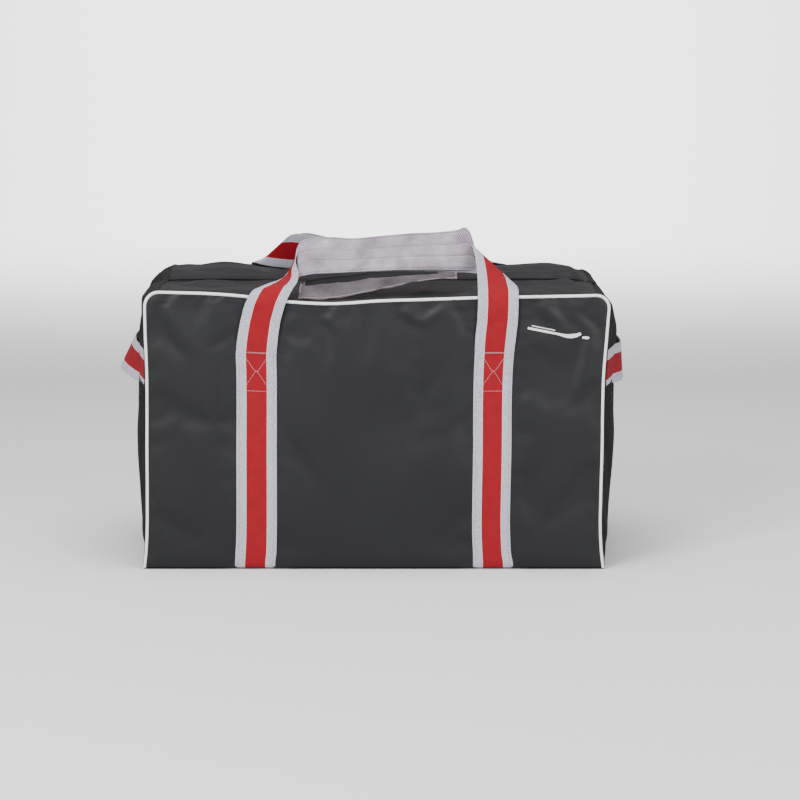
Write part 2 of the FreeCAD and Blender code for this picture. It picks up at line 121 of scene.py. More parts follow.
def crease(u, v, start, end, width, height):
    """A soft ridge from start to end, with a shallow valley beside it."""
    along = np.array(end) - np.array(start)
    length = np.hypot(*along)
    t = ((u - start[0]) * along[0] + (v - start[1]) * along[1]) / length ** 2
    off = ((u - start[0]) * along[1] - (v - start[1]) * along[0]) / length
    taper = smooth(t / 0.35) * smooth((1 - t) / 0.45)
    return height * taper * (np.exp(-(off / width) ** 2) - 0.6 * np.exp(-((off - 1.5 * width) / width) ** 2))


def ripple(u, v, scale, seed):
    """Slow waves from a few sines, about -1 to 1."""
    rng = np.random.default_rng(seed)
    total = np.zeros_like(u)
    for k in range(6):
        turn, phase = rng.uniform(0, 2 * math.pi, 2)
        rate = 2 * math.pi / scale * rng.uniform(0.6, 1.5)
        total += np.sin(rate * (u * math.cos(turn) + v * math.sin(turn)) + phase)
    return total / 3.2


# ---- how the stuffed bag settles: every sewn piece follows this
RISE_X = (-0.370, -0.345, -0.221, -0.150, -0.075, 0.004, 0.083, 0.155, 0.290, 0.370)
FRONT_RISE = (8.0, 7.5, 2.0, -7.0, -11.0, -6.5, -4.0, -1.5, 1.0, 3.0)
BACK_RISE = (4.0, 5.0, 6.0, 4.0, 2.0, 1.0, 2.0, 3.0, 2.0, -3.0)
CROWN_X = (-0.37, -0.30, -0.22, -0.18, -0.14, 0.0, 0.14, 0.22, 0.30, 0.37)
BACK_CROWN = (18.0, 21.0, 19.5, 13.0, 8.5, 9.0, 15.5, 21.5, 21.5, 17.0)
END_Z = (0.0, 0.05, 0.12, 0.25, 0.33, 0.40, 0.44)
LEFT_SWELL = (6.0, 14.0, 20.0, 24.0, 21.0, 10.0, 1.0)
RIGHT_SWELL = (6.0, 17.0, 22.0, 25.0, 25.0, 15.0, 4.0)
LEAN_Z = (0.0, 0.03, 0.067, 0.11, 0.20, 0.27, 0.32, 0.36, 0.40, 0.44)
RIGHT_LEAN = (7.5, 11.0, 13.0, 12.8, 11.2, 11.0, 9.6, 6.5, 3.5, 0.5)
LEFT_LEAN = (-6.5, -3.0, -1.0, -0.3, 0.3, 1.2, 1.2, 0.0, -0.8, -0.5)


def top_creases(x, y):
    """Folds in the top: long ones on the left, a fan from the front right corner on the right."""
    folds = (
        ((-0.350, -0.060), (-0.150, -0.070), 0.010, 3.0), ((-0.340, 0.060), (-0.120, 0.040), 0.012, 3.5),
        ((-0.300, -0.130), (-0.120, -0.160), 0.011, 2.5), ((-0.335, 0.150), (-0.180, 0.110), 0.012, 3.0),
        ((0.350, -0.185), (0.200, -0.040), 0.010, 5.0), ((0.352, -0.150), (0.270, 0.060), 0.011, 5.5),
        ((0.345, -0.195), (0.150, -0.110), 0.009, 3.5), ((0.340, 0.020), (0.230, 0.090), 0.012, 4.5),
        ((0.330, 0.140), (0.200, 0.120), 0.013, 3.0), ((-0.120, -0.150), (0.020, -0.100), 0.012, 3.0),
        ((0.020, -0.170), (0.150, -0.090), 0.011, 3.0), ((-0.060, 0.120), (0.100, 0.060), 0.013, 3.0),
    )
    total = np.zeros_like(x)
    for start, end, width, height in folds:
        total += crease(x, y, start, end, width, height * MM)
    return total


def front_creases(x, z):
    """Puckers below the front piping, and slack near the corners."""
    folds = (
        ((-0.120, 0.425), (-0.165, 0.375), 0.009, 2.6), ((-0.085, 0.422), (-0.060, 0.385), 0.008, 2.2),
        ((0.030, 0.428), (0.085, 0.392), 0.009, 2.4), ((0.120, 0.430), (0.060, 0.395), 0.008, 1.8),
        ((0.250, 0.432), (0.300, 0.392), 0.010, 2.4), ((0.345, 0.400), (0.330, 0.260), 0.012, 2.4),
        ((-0.340, 0.420), (-0.280, 0.330), 0.014, 2.2), ((-0.300, 0.250), (-0.270, 0.120), 0.018, 1.6),
        ((0.050, 0.300), (0.080, 0.120), 0.022, 1.6), ((0.300, 0.200), (0.270, 0.060), 0.018, 1.6),
        ((-0.110, 0.300), (-0.090, 0.080), 0.022, 1.4),
    )
    total = np.zeros_like(x)
    for start, end, width, height in folds:
        total += crease(x, z, start, end, width, height * MM)
    return total


def settle(points):
    """Where a point of the neat, square bag goes in the real one."""
    points = np.asarray(points, float)
    x, y, z = points[..., 0], points[..., 1], points[..., 2]
    height = np.clip(z / top_z, 0, 1.02)
    side = np.clip(np.abs(y) / seam_y, 0, 1)
    far = np.clip(np.abs(x) / seam_x, 0, 1)

    edge = np.where(y < 0, through(RISE_X, FRONT_RISE, x), through(RISE_X, BACK_RISE, x)) * MM
    dz = edge * smooth(side) * height ** 3
    ends = np.where(x < 0, 1 - np.clip(-x / 0.385, 0, 1) ** 10, 1 - smooth((x - 0.319) / 0.026))
    inside = ends * np.clip(height, 0, 1) ** 14
    back_crown = through(CROWN_X, BACK_CROWN, x) * MM * np.sin(math.pi * np.clip(y / seam_y, 0, 1) ** 0.76)
    lip = 3.5 * MM * np.exp(-((y + 0.030) / 0.016) ** 2)
    front_crown = 3 * MM * np.sin(math.pi * np.clip(-y / seam_y, 0, 1)) + lip
    slack = smooth(side / 0.16) * smooth((1 - side) / 0.12)
    folds = (top_creases(x, y) + 1.6 * MM * ripple(x, y, 0.11, 3)) * slack * smooth((1 - far) / 0.08)
    dz = dz + (back_crown + front_crown + folds) * inside

    swell = np.where(x < 0, -through(END_Z, LEFT_SWELL, z), through(END_Z, RIGHT_SWELL, z)) * MM
    swell = swell * (1 - side ** 2.2) * far ** 10
    pull = np.where(x < 0, through(LEAN_Z, LEFT_LEAN, z) * smooth(far / 0.9),
                    -through(LEAN_Z, RIGHT_LEAN, z) * smooth(far / 0.75)) * MM
    end_folds = 1.5 * MM * ripple(y, z, 0.16, 5) * np.sign(x)
    end_folds = end_folds * (1 - side ** 4) * far ** 20 * smooth((0.42 - z) / 0.05)
    square = smooth((z - 0.405) / 0.02) * smooth((far - 0.93) / 0.05) * (1 - side ** 2)
    push = np.where(x < 0, 5.5 * MM * smooth((np.abs(y) - 0.012) / 0.03), -2.0 * MM) * square
    dx = swell + pull + end_folds + np.sign(x) * push
    dz = dz + push

    low = np.clip(z / seam_z, 0, 1)
    envelope = (1 - far ** 6) * np.sin(math.pi * low ** 0.8) ** 0.7
    belly = 4.5 * MM + 1.8 * MM * ripple(x, z, 0.22, 8)
    near = np.where(y < 0, front_creases(x, z), front_creases(-x, z)) * smooth((1 - far) / 0.06)
    beside_strap = smooth((np.abs(np.abs(x) - strap_x) - 0.036) / 0.035)
    flat = 1 - (1 - beside_strap) * smooth((z - 0.16) / 0.10)
    dy = np.sign(y) * side ** 16 * (belly * envelope + near * smooth((seam_z - z) / 0.012)) * flat
    return np.stack([x + dx, y + dy, z + dz], axis=-1)


# ---- mesh building
def mesh_object(name, points, faces, uv=None):
    """A smooth-shaded mesh with its place in its vertices; uv is one pair for each vertex."""
    mesh = bpy.data.meshes.new(name)
    mesh.from_pydata([tuple(p) for p in points], [], faces)
    mesh.polygons.foreach_set("use_smooth", [True] * len(mesh.polygons))
    if uv is not None:
        layer = mesh.uv_layers.new(name="UVMap")
        corners = np.zeros(len(mesh.loops), int)
        mesh.loops.foreach_get("vertex_index", corners)
        layer.data.foreach_set("uv", np.asarray(uv, np.float32)[corners].ravel())
    mesh.update()
    piece = bpy.data.objects.new(name, mesh)
    bpy.context.scene.collection.objects.link(piece)
    return piece


def grid_faces(rows, cols, start=0, flip=False):
    faces = []
    for i in range(rows - 1):
        for j in range(cols - 1):
            a = start + i * cols + j
            quad = (a, a + 1, a + cols + 1, a + cols)
            faces.append(quad[::-1] if flip else quad)
    return faces


def panel(name, grid, flip=False):
    """A panel from a grid of points, rows by columns."""
    rows, cols = grid.shape[:2]
    return mesh_object(name, grid.reshape(-1, 3), grid_faces(rows, cols, flip=flip))


def ring_faces(rings, around, start=0, closed=False, flip=False):
    """Faces that join rings of points; closed joins the last ring to the first."""
    faces = []
    for i in range(rings if closed else rings - 1):
        a, b = start + i * around, start + (i + 1) % rings * around
        for j in range(around):
            k = (j + 1) % around
            faces.append((a + j, b + j, b + k, a + k) if flip else (a + j, a + k, b + k, b + j))
    return faces


def unit(rows):
    return rows / np.linalg.norm(rows, axis=1)[:, None]


def along(path):
    """Distance along a line of points."""
    return np.concatenate([[0], np.cumsum(np.linalg.norm(np.diff(path, axis=0), axis=1))])


def spline(stations, spacing):
    """Rows of numbers, interpolated smoothly along the middle of their first six values."""
    stations = np.asarray(stations, float)
    middle = (stations[:, :3] + stations[:, 3:6]) / 2 if stations.shape[1] >= 6 else stations[:, :3]
    reach = along(middle) + 1e-6 * np.arange(len(middle))
    at = np.linspace(0, reach[-1], max(2, int(reach[-1] / spacing)))
    at = np.unique(np.concatenate([at, reach]))
    return np.stack([through(reach, stations[:, k], at) for k in range(stations.shape[1])], axis=1)


webs = {}                                          # surfaces of the ribbons, for sewing on them


def ribbon(name, stations, spacing=5 * MM, thick=1.9 * MM, across=18, shape=None):
    """Webbing between two edge lines. A station is left xyz, right xyz and how far the middle bows out."""
    rows = spline(stations, spacing)
    left, right, bow = rows[:, :3], rows[:, 3:6], rows[:, 6]
    run = np.gradient((left + right) / 2, axis=0)
    normal = unit(np.cross(right - left, run))
    u = (1 - np.cos(np.linspace(0, math.pi, across + 1))) / 2 * 0.35 + np.linspace(0, 1, across + 1) * 0.65
    half = thick / 2 * np.sqrt(np.clip(1 - np.abs(2 * u - 1) ** 24, 0.05, 1))[None]
    reach = along((left + right) / 2)
    if shape:
        half = thick / 2 * shape(u[None], np.minimum(reach, reach[-1] - reach)[:, None])
    middle = left[:, None] * (1 - u)[None, :, None] + right[:, None] * u[None, :, None]
    middle = middle + (bow[:, None] * (4 * u * (1 - u))[None, :])[:, :, None] * normal[:, None]
    half = np.broadcast_to(half, middle.shape[:2])[:, :, None]
    outer = middle + normal[:, None] * half
    inner = middle - normal[:, None] * half
    loop = np.concatenate([outer, inner[:, ::-1]], axis=1)
    n, m = loop.shape[:2]
    faces = ring_faces(n, m)
    for i in (0, n - 1):
        for j in range(across):
            quad = (i * m + j, i * m + j + 1, i * m + m - 2 - j, i * m + m - 1 - j)
            faces.append(quad[::-1] if i == 0 else quad)
    v = (along(left)[:, None] * (1 - u)[None] + along(right)[:, None] * u[None]) / web
    us = np.broadcast_to(u, (n, across + 1))
    uv = np.stack([np.concatenate([us, us[:, ::-1]], 1), np.concatenate([v, v[:, ::-1]], 1)], axis=-1)
    webs[name] = (outer, inner, normal, u)
    piece = mesh_object(name, loop.reshape(-1, 3), faces, uv.reshape(-1, 2))
    piece.data.set_sharp_from_angle(angle=math.radians(60))
    return piece


def on_web(name, start, end, spacing=2 * MM, lift=0.15 * MM, outside=True):
    """A line over a ribbon from (across, row) to (across, row), just off its face."""
    outer, inner, normal, u = webs[name]
    face = outer if outside else inner
    way = 1 if outside else -1
    count = max(2, int(abs(end[1] - start[1])) + int(abs(end[0] - start[0]) * web / spacing) + 1)
    line = []
    for t in np.linspace(0, 1, count):
        a, row = start[0] + (end[0] - start[0]) * t, start[1] + (end[1] - start[1]) * t
        i = int(np.clip(math.floor(row), 0, len(face) - 2))
        f = row - i
        edge = face[i] * (1 - f) + face[i + 1] * f
        up = normal[i] * (1 - f) + normal[i + 1] * f
        line.append([np.interp(a, u, edge[:, k]) + up[k] * way * lift for k in range(3)])
    return np.array(line)


def row_at(name, height, axis=2, last=False):
    """The row of a ribbon whose middle first reaches a height (or another coordinate)."""
    outer = webs[name][0]
    middle = outer[:, outer.shape[1] // 2, axis]
    over = np.flatnonzero(np.diff(np.sign(middle - height)))
    i = int(over[-1 if last else 0])
    return i + (height - middle[i]) / (middle[i + 1] - middle[i])


def tube(name, path, radius, sides=12):
    """A round bead along a path, closed at its ends."""
    tangent = unit(np.gradient(path, axis=0))
    side = unit(np.cross(tangent, (0, 1, 0)))
    other = np.cross(tangent, side)
    turn = (np.arange(sides) * 2 * math.pi / sides)[None, :, None]
    ring = (np.cos(turn) * side[:, None] + np.sin(turn) * other[:, None]) * radius
    points = (path[:, None] + ring).reshape(-1, 3)
    n = len(path)
    faces = ring_faces(n, sides)
    faces.append(tuple(range(sides))[::-1])
    faces.append(tuple((n - 1) * sides + j for j in range(sides)))
    reach = along(path)
    uv = [(j / sides, reach[i] / (2 * math.pi * radius)) for i in range(n) for j in range(sides)]
    return mesh_object(name, points, faces, uv)


def finished(piece, sharp=50):
    """Makes a piece's modifiers part of its mesh, and keeps its cut edges crisp."""
    graph = bpy.context.evaluated_depsgraph_get()
    mesh = bpy.data.meshes.new_from_object(piece.evaluated_get(graph), depsgraph=graph)
    old, piece.data = piece.data, mesh
    mesh.name = piece.name
    bpy.data.meshes.remove(old)
    piece.modifiers.clear()
    mesh.set_sharp_from_angle(angle=math.radians(sharp))


def solidify(piece, thick, offset=-1.0, levels=1):
    """Smooths a panel and gives it its thickness, inwards."""
    if levels:
        soft = piece.modifiers.new("soft", "SUBSURF")
        soft.levels = soft.render_levels = levels
        soft.boundary_smooth = "PRESERVE_CORNERS"
    wall = piece.modifiers.new("wall", "SOLIDIFY")
    wall.thickness, wall.offset = thick, offset
    wall.material_offset, wall.material_offset_rim = 1, 0
    finished(piece)


# ---- the shell: neat outlines
def half_width(z):
    """Half the width of the front panel at a height, round its top corners."""
    inner = corner - bead
    over = np.clip(z - (seam_z - corner), 0, inner)
    return seam_x - bead - inner + np.sqrt(np.maximum(inner ** 2 - over ** 2, 0))


def face_grid(side, spacing=7.5 * MM):
    """Front (side -1) or back (side 1) panel, rows going up."""
    rows = int((panel_high.z - foot_z) / spacing)
    z = foot_z + (panel_high.z - foot_z) * np.sin(np.linspace(0, 1, rows) * math.pi / 2) ** 0.97
    a = np.linspace(-1, 1, int(2 * seam_x / spacing))
    zz, aa = np.meshgrid(z, a, indexing="ij")
    xx = aa * half_width(zz)
    return np.stack([xx, np.full_like(xx, side * face_y), zz], axis=-1)


def end_path(spacing):
    """Outline of an end panel from the foot up and over its top corner, as (x, z)."""
    straight = top_z - shoulder
    points = [(end_x, z) for z in np.linspace(foot_z, straight, int((straight - foot_z) / spacing))]
    for turn in np.linspace(0, math.pi / 2, 9)[1:]:
        points.append((end_x - shoulder + shoulder * math.cos(turn), straight + shoulder * math.sin(turn)))
    return np.array(points)


def end_grid(side, spacing=8 * MM):
    path = end_path(spacing)
    y = np.linspace(-seam_y, seam_y, int(2 * seam_y / spacing))
    return np.stack([np.repeat((side * path[:, 0])[:, None], len(y), 1), np.repeat(y[None], len(path), 0),
                     np.repeat(path[:, 1][:, None], len(y), 1)], axis=-1)


def top_grid(side, start, end, x0, x1, spacing=7.5 * MM):
    """Part of the top between two distances from the zip, and between two ends."""
    y = np.linspace(start, end, max(3, int(abs(end - start) / spacing)))
    x = np.linspace(x0, x1, int((x1 - x0) / spacing))
    yy, xx = np.meshgrid(side * y, x, indexing="ij")
    return np.stack([xx, yy, np.full_like(xx, top_z)], axis=-1)


def base_grid(spacing=12 * MM):
    x = np.linspace(-1, 1, int(2 * end_x / spacing))
    y = np.linspace(-face_y, face_y, int(2 * face_y / spacing))
    yy, xx = np.meshgrid(y, x * end_x, indexing="ij")
    return np.stack([xx, yy, np.full_like(xx, foot_z)], axis=-1)


welt_inner = seam_y - 15 * MM                      # static strip sewn along the front and back of the top
flap_start = seam_y - 7 * MM
# neat panels, before the bag settles, and which way each faces
outlines = {
    "front_panel_fabric": (face_grid(-1), False),
    "back_panel_fabric": (face_grid(1), True),
    "left_end_fabric": (end_grid(-1), False),
    "right_end_fabric": (end_grid(1), True),
    "front_top_fabric": (top_grid(-1, flap_start, hem_edge, -flap_end, flap_end), False),
    "back_top_fabric": (top_grid(1, hem_edge, flap_start, -flap_end, flap_end), False),
}


def sewn_down(name, neat):
    """Points of a panel that a seam, a strap or a hem holds still."""
    x, y, z = neat[..., 0], neat[..., 1], neat[..., 2]
    held = np.zeros(x.shape, bool)
    held[0], held[-1], held[:, 0], held[:, -1] = True, True, True, True
    if "panel" in name:
        held |= np.abs(np.abs(x) - strap_x) < web / 2 + 3 * MM
        held |= z < 0.012
    if "top" in name:
        held |= np.abs(y) < 36 * MM
    if "end" in name:
        held |= (np.abs(z - 0.33) < 36 * MM) & (np.abs(y) > 0.10)
    return held.ravel()


CAPS = {"front": 1.4 * MM, "back": 3.5 * MM, "left": 2.5 * MM, "right": 3 * MM}


def crumple(pieces, held, spare=0.012, frames=14):
    """Runs the cloth: each panel is cut a little larger than the place it is sewn into, and buckles."""
    rest = {}
    for piece in pieces:
        rest[piece.name] = np.array([v.co for v in piece.data.vertices])
        group = piece.vertex_groups.new(name="sewn")
        group.add([int(i) for i in np.flatnonzero(held[piece.name])], 1.0, "REPLACE")
        modifier = piece.modifiers.new("cloth", "CLOTH")
        settings = modifier.settings
        settings.quality = 5
        settings.mass = 0.25
        settings.tension_stiffness = settings.compression_stiffness = 25
        settings.shear_stiffness = 12
        settings.bending_stiffness = 3.0
        settings.tension_damping = settings.compression_damping = 10
        settings.air_damping = 3
        settings.vertex_group_mass = "sewn"
        settings.shrink_min = -spare
        settings.use_pressure = True
        settings.uniform_pressure_force = 0.35
        settings.effector_weights.gravity = 0.2
    for step in range(1, frames + 1):
        bpy.context.scene.frame_set(step)
    graph = bpy.context.evaluated_depsgraph_get()
    for piece in pieces:
        moved = np.array([v.co for v in piece.evaluated_get(graph).data.vertices]) - rest[piece.name]
        size = np.linalg.norm(moved, axis=1)
        cap = 4.5 * MM if "top" in piece.name else CAPS[piece.name.split("_")[0]]
        moved *= (cap * np.tanh(size / cap) / np.maximum(size, 1e-9))[:, None]
        piece.modifiers.clear()
        piece.vertex_groups.clear()
        piece.data.vertices.foreach_set("co", (rest[piece.name] + moved).astype(np.float32).ravel())
        piece.data.update()


panels = {name: panel(name, settle(neat), flip) for name, (neat, flip) in outlines.items()}
crumple(list(panels.values()), {name: sewn_down(name, neat) for name, (neat, _) in outlines.items()})

top_tree = BVHTree.FromPolygons(
    [tuple(v.co) for v in panels["front_top_fabric"].data.vertices],
    [tuple(p.vertices) for p in panels["front_top_fabric"].data.polygons])


def cut_half(piece, name, side):
    """The left (-1) or right (1) half of a top panel, cut at the middle column."""
    points = np.array([v.co for v in piece.data.vertices])
    rows, cols = outlines[piece.name][0].shape[:2]
    grid = points.reshape(rows, cols, 3)
    middle = cols // 2
    part = grid[:, :middle + 1] if side < 0 else grid[:, middle:]
    return panel(name, part)


def remove(piece):
    mesh = piece.data
    bpy.data.objects.remove(piece)
    bpy.data.meshes.remove(mesh)


# ---- finishes
paints = {}


def paint(piece, *names):
    piece.data.materials.clear()
    for name in names:
        piece.data.materials.append(paints[name])


def worn(piece, body, slot, *nodes):
    """Rides a piece on its body and says which nodes it stands for, by hiding them; slot is not used."""
    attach(piece, body)
    if nodes:
        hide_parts(*nodes)


def folds_with(piece):
    """Bakes a piece of the top into its place in world space."""
    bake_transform(piece)


def group(name, inputs, outputs):
    """A shared effect: a node group with named inputs and outputs."""
    tree = bpy.data.node_groups.new(name, "ShaderNodeTree")
    for label, kind, value in inputs:
        socket = tree.interface.new_socket(label, in_out="INPUT", socket_type=kind)
        if value is not None:
            socket.default_value = value
    for label, kind in outputs:
        tree.interface.new_socket(label, in_out="OUTPUT", socket_type=kind)
    return tree, tree.nodes.new("NodeGroupInput"), tree.nodes.new("NodeGroupOutput")


def sums(tree, operation, a, b=None, c=None):
    """A maths node; a and b are sockets or numbers."""
    node = tree.nodes.new("ShaderNodeMath")
    node.operation = operation
    for k, value in enumerate((a, b, c)):
        if value is None:
            continue
        if isinstance(value, (int, float)):
            node.inputs[k].default_value = value
        else:
            tree.links.new(value, node.inputs[k])
    return node.outputs[0]


def noise(tree, vector, scale, detail=3.0, rough=0.55):
    node = tree.nodes.new("ShaderNodeTexNoise")
    node.inputs["Scale"].default_value = scale
    node.inputs["Detail"].default_value = detail
    node.inputs["Roughness"].default_value = rough
    tree.links.new(vector, node.inputs["Vector"])
    return node.outputs["Fac"]


# fine pebbled coating over a plain weave, for any piece
grain_tree, entry, leave = group(
    "coated_grain", (("Vector", "NodeSocketVector", None),),
    (("Height", "NodeSocketFloat"), ("Cloud", "NodeSocketFloat"), ("Scuff", "NodeSocketFloat")))
cells = grain_tree.nodes.new("ShaderNodeTexVoronoi")
cells.inputs["Scale"].default_value = 700.0
grain_tree.links.new(entry.outputs[0], cells.inputs["Vector"])
slow = noise(grain_tree, entry.outputs[0], 55.0, 2.0)
pebbles = sums(grain_tree, "MULTIPLY", cells.outputs["Distance"], 0.25)
grain_tree.links.new(sums(grain_tree, "MULTIPLY_ADD", slow, 0.9, pebbles), leave.inputs["Height"])
grain_tree.links.new(noise(grain_tree, entry.outputs[0], 9.0, 3.0), leave.inputs["Cloud"])
marks = noise(grain_tree, entry.outputs[0], 160.0, 4.0)
grain_tree.links.new(sums(grain_tree, "SMOOTH_MIN", marks, 0.6, 0.1), leave.inputs["Scuff"])

# woven ribs from a piece's own UVs: one diagonal way and the other, with the threads' height, and Shade, a
# mask of painted shade and highlight on the ribs
weave_tree, entry, leave = group(
    "woven_ribs",
    (
        ("UV", "NodeSocketVector", None),
        ("Across", "NodeSocketFloat", 60.0),
        ("Along", "NodeSocketFloat", 60.0),
    ),
    (("Height", "NodeSocketFloat"), ("Shade", "NodeSocketFloat")))
split = weave_tree.nodes.new("ShaderNodeSeparateXYZ")
weave_tree.links.new(entry.outputs["UV"], split.inputs[0])
u_run = sums(weave_tree, "MULTIPLY", split.outputs[0], entry.outputs["Across"])
v_run = sums(weave_tree, "MULTIPLY", split.outputs[1], entry.outputs["Along"])
one, two = (
    sums(weave_tree, "SINE", sums(weave_tree, "MULTIPLY", sums(weave_tree, way, u_run, v_run), 2 * math.pi))
    for way in ("ADD", "SUBTRACT"))
checks = sums(weave_tree, "MULTIPLY", one, two)
weave_tree.links.new(sums(weave_tree, "MULTIPLY_ADD", checks, 0.5, 0.5), leave.inputs["Height"])
# Shade is painted light: lighter along one diagonal and on the raised checks, darker between them
shade = sums(weave_tree, "MULTIPLY_ADD", one, 0.35, sums(weave_tree, "MULTIPLY_ADD", checks, 0.3, 0.5))
weave_tree.links.new(shade, leave.inputs["Shade"])


def finish(name, colour, rough, specular=0.5, metallic=0.0):
    """A plain material; returns its tree, its shader and the piece's own coordinates."""
    material = bpy.data.materials.new(name)
    material.use_nodes = True
    tree = material.node_tree
    shader = tree.nodes["Principled BSDF"]
    shader.inputs["Base Color"].default_value = (*colour, 1)
    shader.inputs["Roughness"].default_value = rough
    shader.inputs["Specular IOR Level"].default_value = specular
    shader.inputs["Metallic"].default_value = metallic
    paints[name] = material
    coordinates = tree.nodes.new("ShaderNodeTexCoord")
    return tree, shader, coordinates


def use_group(tree, shared, **given):
    node = tree.nodes.new("ShaderNodeGroup")
    node.node_tree = shared
    for label, value in given.items():
        if isinstance(value, (int, float)):
            node.inputs[label].default_value = value
        else:
            tree.links.new(value, node.inputs[label])
    return node


def mixed(tree, factor, a, b):
    """A colour between two, by a mask."""
    node = tree.nodes.new("ShaderNodeMix")
    node.data_type = "RGBA"
    tree.links.new(factor, node.inputs["Factor"])
    for socket, value in ((node.inputs[6], a), (node.inputs[7], b)):
        if isinstance(value, tuple):
            socket.default_value = (*value, 1)
        else:
            tree.links.new(value, socket)
    return node.outputs[2]


def bumped(tree, shader, height, strength, distance):
    bump = tree.nodes.new("ShaderNodeBump")
    bump.inputs["Strength"].default_value = strength
    bump.inputs["Distance"].default_value = distance
    tree.links.new(height, bump.inputs["Height"])
    tree.links.new(bump.outputs[0], shader.inputs["Normal"])


def coated(name, dark, light, rough, specular, bump):
    tree, shader, coordinates = finish(name, dark, rough, specular)
    grain = use_group(tree, grain_tree, Vector=coordinates.outputs["Object"])
    tree.links.new(mixed(tree, grain.outputs["Cloud"], dark, light), shader.inputs["Base Color"])
    worn_rough = sums(tree, "MULTIPLY_ADD", grain.outputs["Scuff"], 0.22, rough - 0.10)
    tree.links.new(worn_rough, shader.inputs["Roughness"])
    bumped(tree, shader, grain.outputs["Height"], bump, 0.4 * MM)


coated("coated_fabric", (0.0155, 0.0158, 0.0176), (0.0195, 0.0198, 0.0218), 0.47, 0.30, 0.30)
coated("inner_coating", (0.010, 0.010, 0.011), (0.014, 0.014, 0.015), 0.70, 0.25, 0.3)
coated("black_tape", (0.010, 0.010, 0.011), (0.014, 0.014, 0.015), 0.75, 0.25, 0.6)
coated("zip_tape_weave", (0.010, 0.010, 0.011), (0.015, 0.015, 0.016), 0.80, 0.2, 0.8)
coated("hook_fuzz", (0.008, 0.008, 0.009), (0.03, 0.029, 0.031), 0.95, 0.1, 1.0)
finish("coil_nylon", (0.010, 0.010, 0.011), 0.38, 0.5)
finish("hole_shadow", (0.003, 0.003, 0.003), 0.9, 0.1)
finish("black_metal", (0.035, 0.035, 0.038), 0.28, 0.5, 0.85)
finish("pale_thread", (0.66, 0.50, 0.50), 0.75, 0.2)
finish("grey_thread", (0.16, 0.15, 0.17), 0.8, 0.2)
finish("mauve_thread", (0.13, 0.10, 0.14), 0.8, 0.2)
finish("dark_thread", (0.02, 0.02, 0.022), 0.7, 0.3)
finish("pale_floor", (0.90, 0.90, 0.90), 0.95, 0.0)

tree, shader, coordinates = finish("white_vinyl", (0.88, 0.87, 0.87), 0.34, 0.5)
spots = noise(tree, coordinates.outputs["Object"], 38.0, 3.0)
tree.links.new(mixed(tree, spots, (0.84, 0.83, 0.84), (0.94, 0.93, 0.93)), shader.inputs["Base Color"])
bumped(tree, shader, noise(tree, coordinates.outputs["Object"], 240.0, 2.0), 0.2, 0.3 * MM)
tree, shader, coordinates = finish("printed_white", (0.78, 0.78, 0.79), 0.45, 0.4)
bumped(tree, shader, noise(tree, coordinates.outputs["Object"], 600.0, 2.0), 0.15, 0.2 * MM)


def striped():
    """Webbing: a red band between two grey ones, with a pale thread at each edge of the red, and painted
    shade and highlight along its ribs.
    """
    tree, shader, coordinates = finish("striped_webbing", (0.5, 0.47, 0.53), 0.72, 0.25)
    ribs = use_group(tree, weave_tree, UV=coordinates.outputs["UV"], Across=30.0, Along=38.0)
    split = tree.nodes.new("ShaderNodeSeparateXYZ")
    tree.links.new(coordinates.outputs["UV"], split.inputs[0])
    off = sums(tree, "ABSOLUTE", sums(tree, "SUBTRACT", split.outputs[0], 0.5))
    red_here = sums(tree, "LESS_THAN", off, 0.256)
    pale_here = sums(tree, "COMPARE", off, 0.262, 0.008)
    cloud = noise(tree, coordinates.outputs["Object"], 60.0, 3.0)
    speckle = sums(tree, "MULTIPLY_ADD", noise(tree, coordinates.outputs["Object"], 520.0, 2.0), 2.4, -0.7)
    grey = mixed(tree, speckle, (0.36, 0.36, 0.42), (0.66, 0.66, 0.74))
    red = mixed(tree, cloud, (0.27, 0.0026, 0.0095), (0.36, 0.0045, 0.0140))
    colour = mixed(tree, pale_here, mixed(tree, red_here, grey, red), (0.74, 0.62, 0.65))
    # painted shade and highlight of the ribs, multiplied into the webbing's colour
    shade = mixed(tree, ribs.outputs["Shade"], (0.80, 0.80, 0.80), (1.12, 1.12, 1.12))
    rib_shading = tree.nodes.new("ShaderNodeMix")
    rib_shading.data_type, rib_shading.blend_type = "RGBA", "MULTIPLY"
    rib_shading.inputs["Factor"].default_value = 1.0
    tree.links.new(colour, rib_shading.inputs[6])
    tree.links.new(shade, rib_shading.inputs[7])
    tree.links.new(rib_shading.outputs[2], shader.inputs["Base Color"])
    bumped(tree, shader, ribs.outputs["Height"], 0.7, 0.5 * MM)


def woven(name, dark, light, across, run, rough, bump):
    """A one-colour weave, mixed between a dark colour of painted shade and a light colour of painted
    highlight, along a small diagonal pattern of ribs and in cloudy patches.
    """
    tree, shader, coordinates = finish(name, dark, rough, 0.2)
    ribs = use_group(tree, weave_tree, UV=coordinates.outputs["UV"], Across=float(across), Along=float(run))
    cloud = noise(tree, coordinates.outputs["Object"], 26.0, 3.0)
    # painted shade and highlight: the rib mask plus cloudy patches picks between the dark and light colours
    shade = sums(tree, "MULTIPLY_ADD", ribs.outputs["Shade"], 0.7, -0.5)
    mask = sums(tree, "MULTIPLY_ADD", cloud, 1.3, shade)
    tree.links.new(mixed(tree, mask, dark, light), shader.inputs["Base Color"])
    bumped(tree, shader, ribs.outputs["Height"], bump, 0.6 * MM)


striped()
# each weave's dark and light colours are its painted shade and painted highlight
woven("twill", (0.12, 0.095, 0.125), (0.68, 0.61, 0.69), 16, 16, 0.85, 1.0)
woven("wrap_weave", (0.045, 0.038, 0.045), (0.21, 0.185, 0.21), 34, 14, 0.9, 1.0)

# ---- shell pieces on their bodies
for name, node in (("front_panel_fabric", "front_panel"), ("back_panel_fabric", "back_panel"),
                   ("left_end_fabric", "left_end_panel"), ("right_end_fabric", "right_end_panel")):
    piece = panels[name]
    paint(piece, "coated_fabric", "inner_coating")
    solidify(piece, cloth)
    worn(piece, "bag", "shell", node)

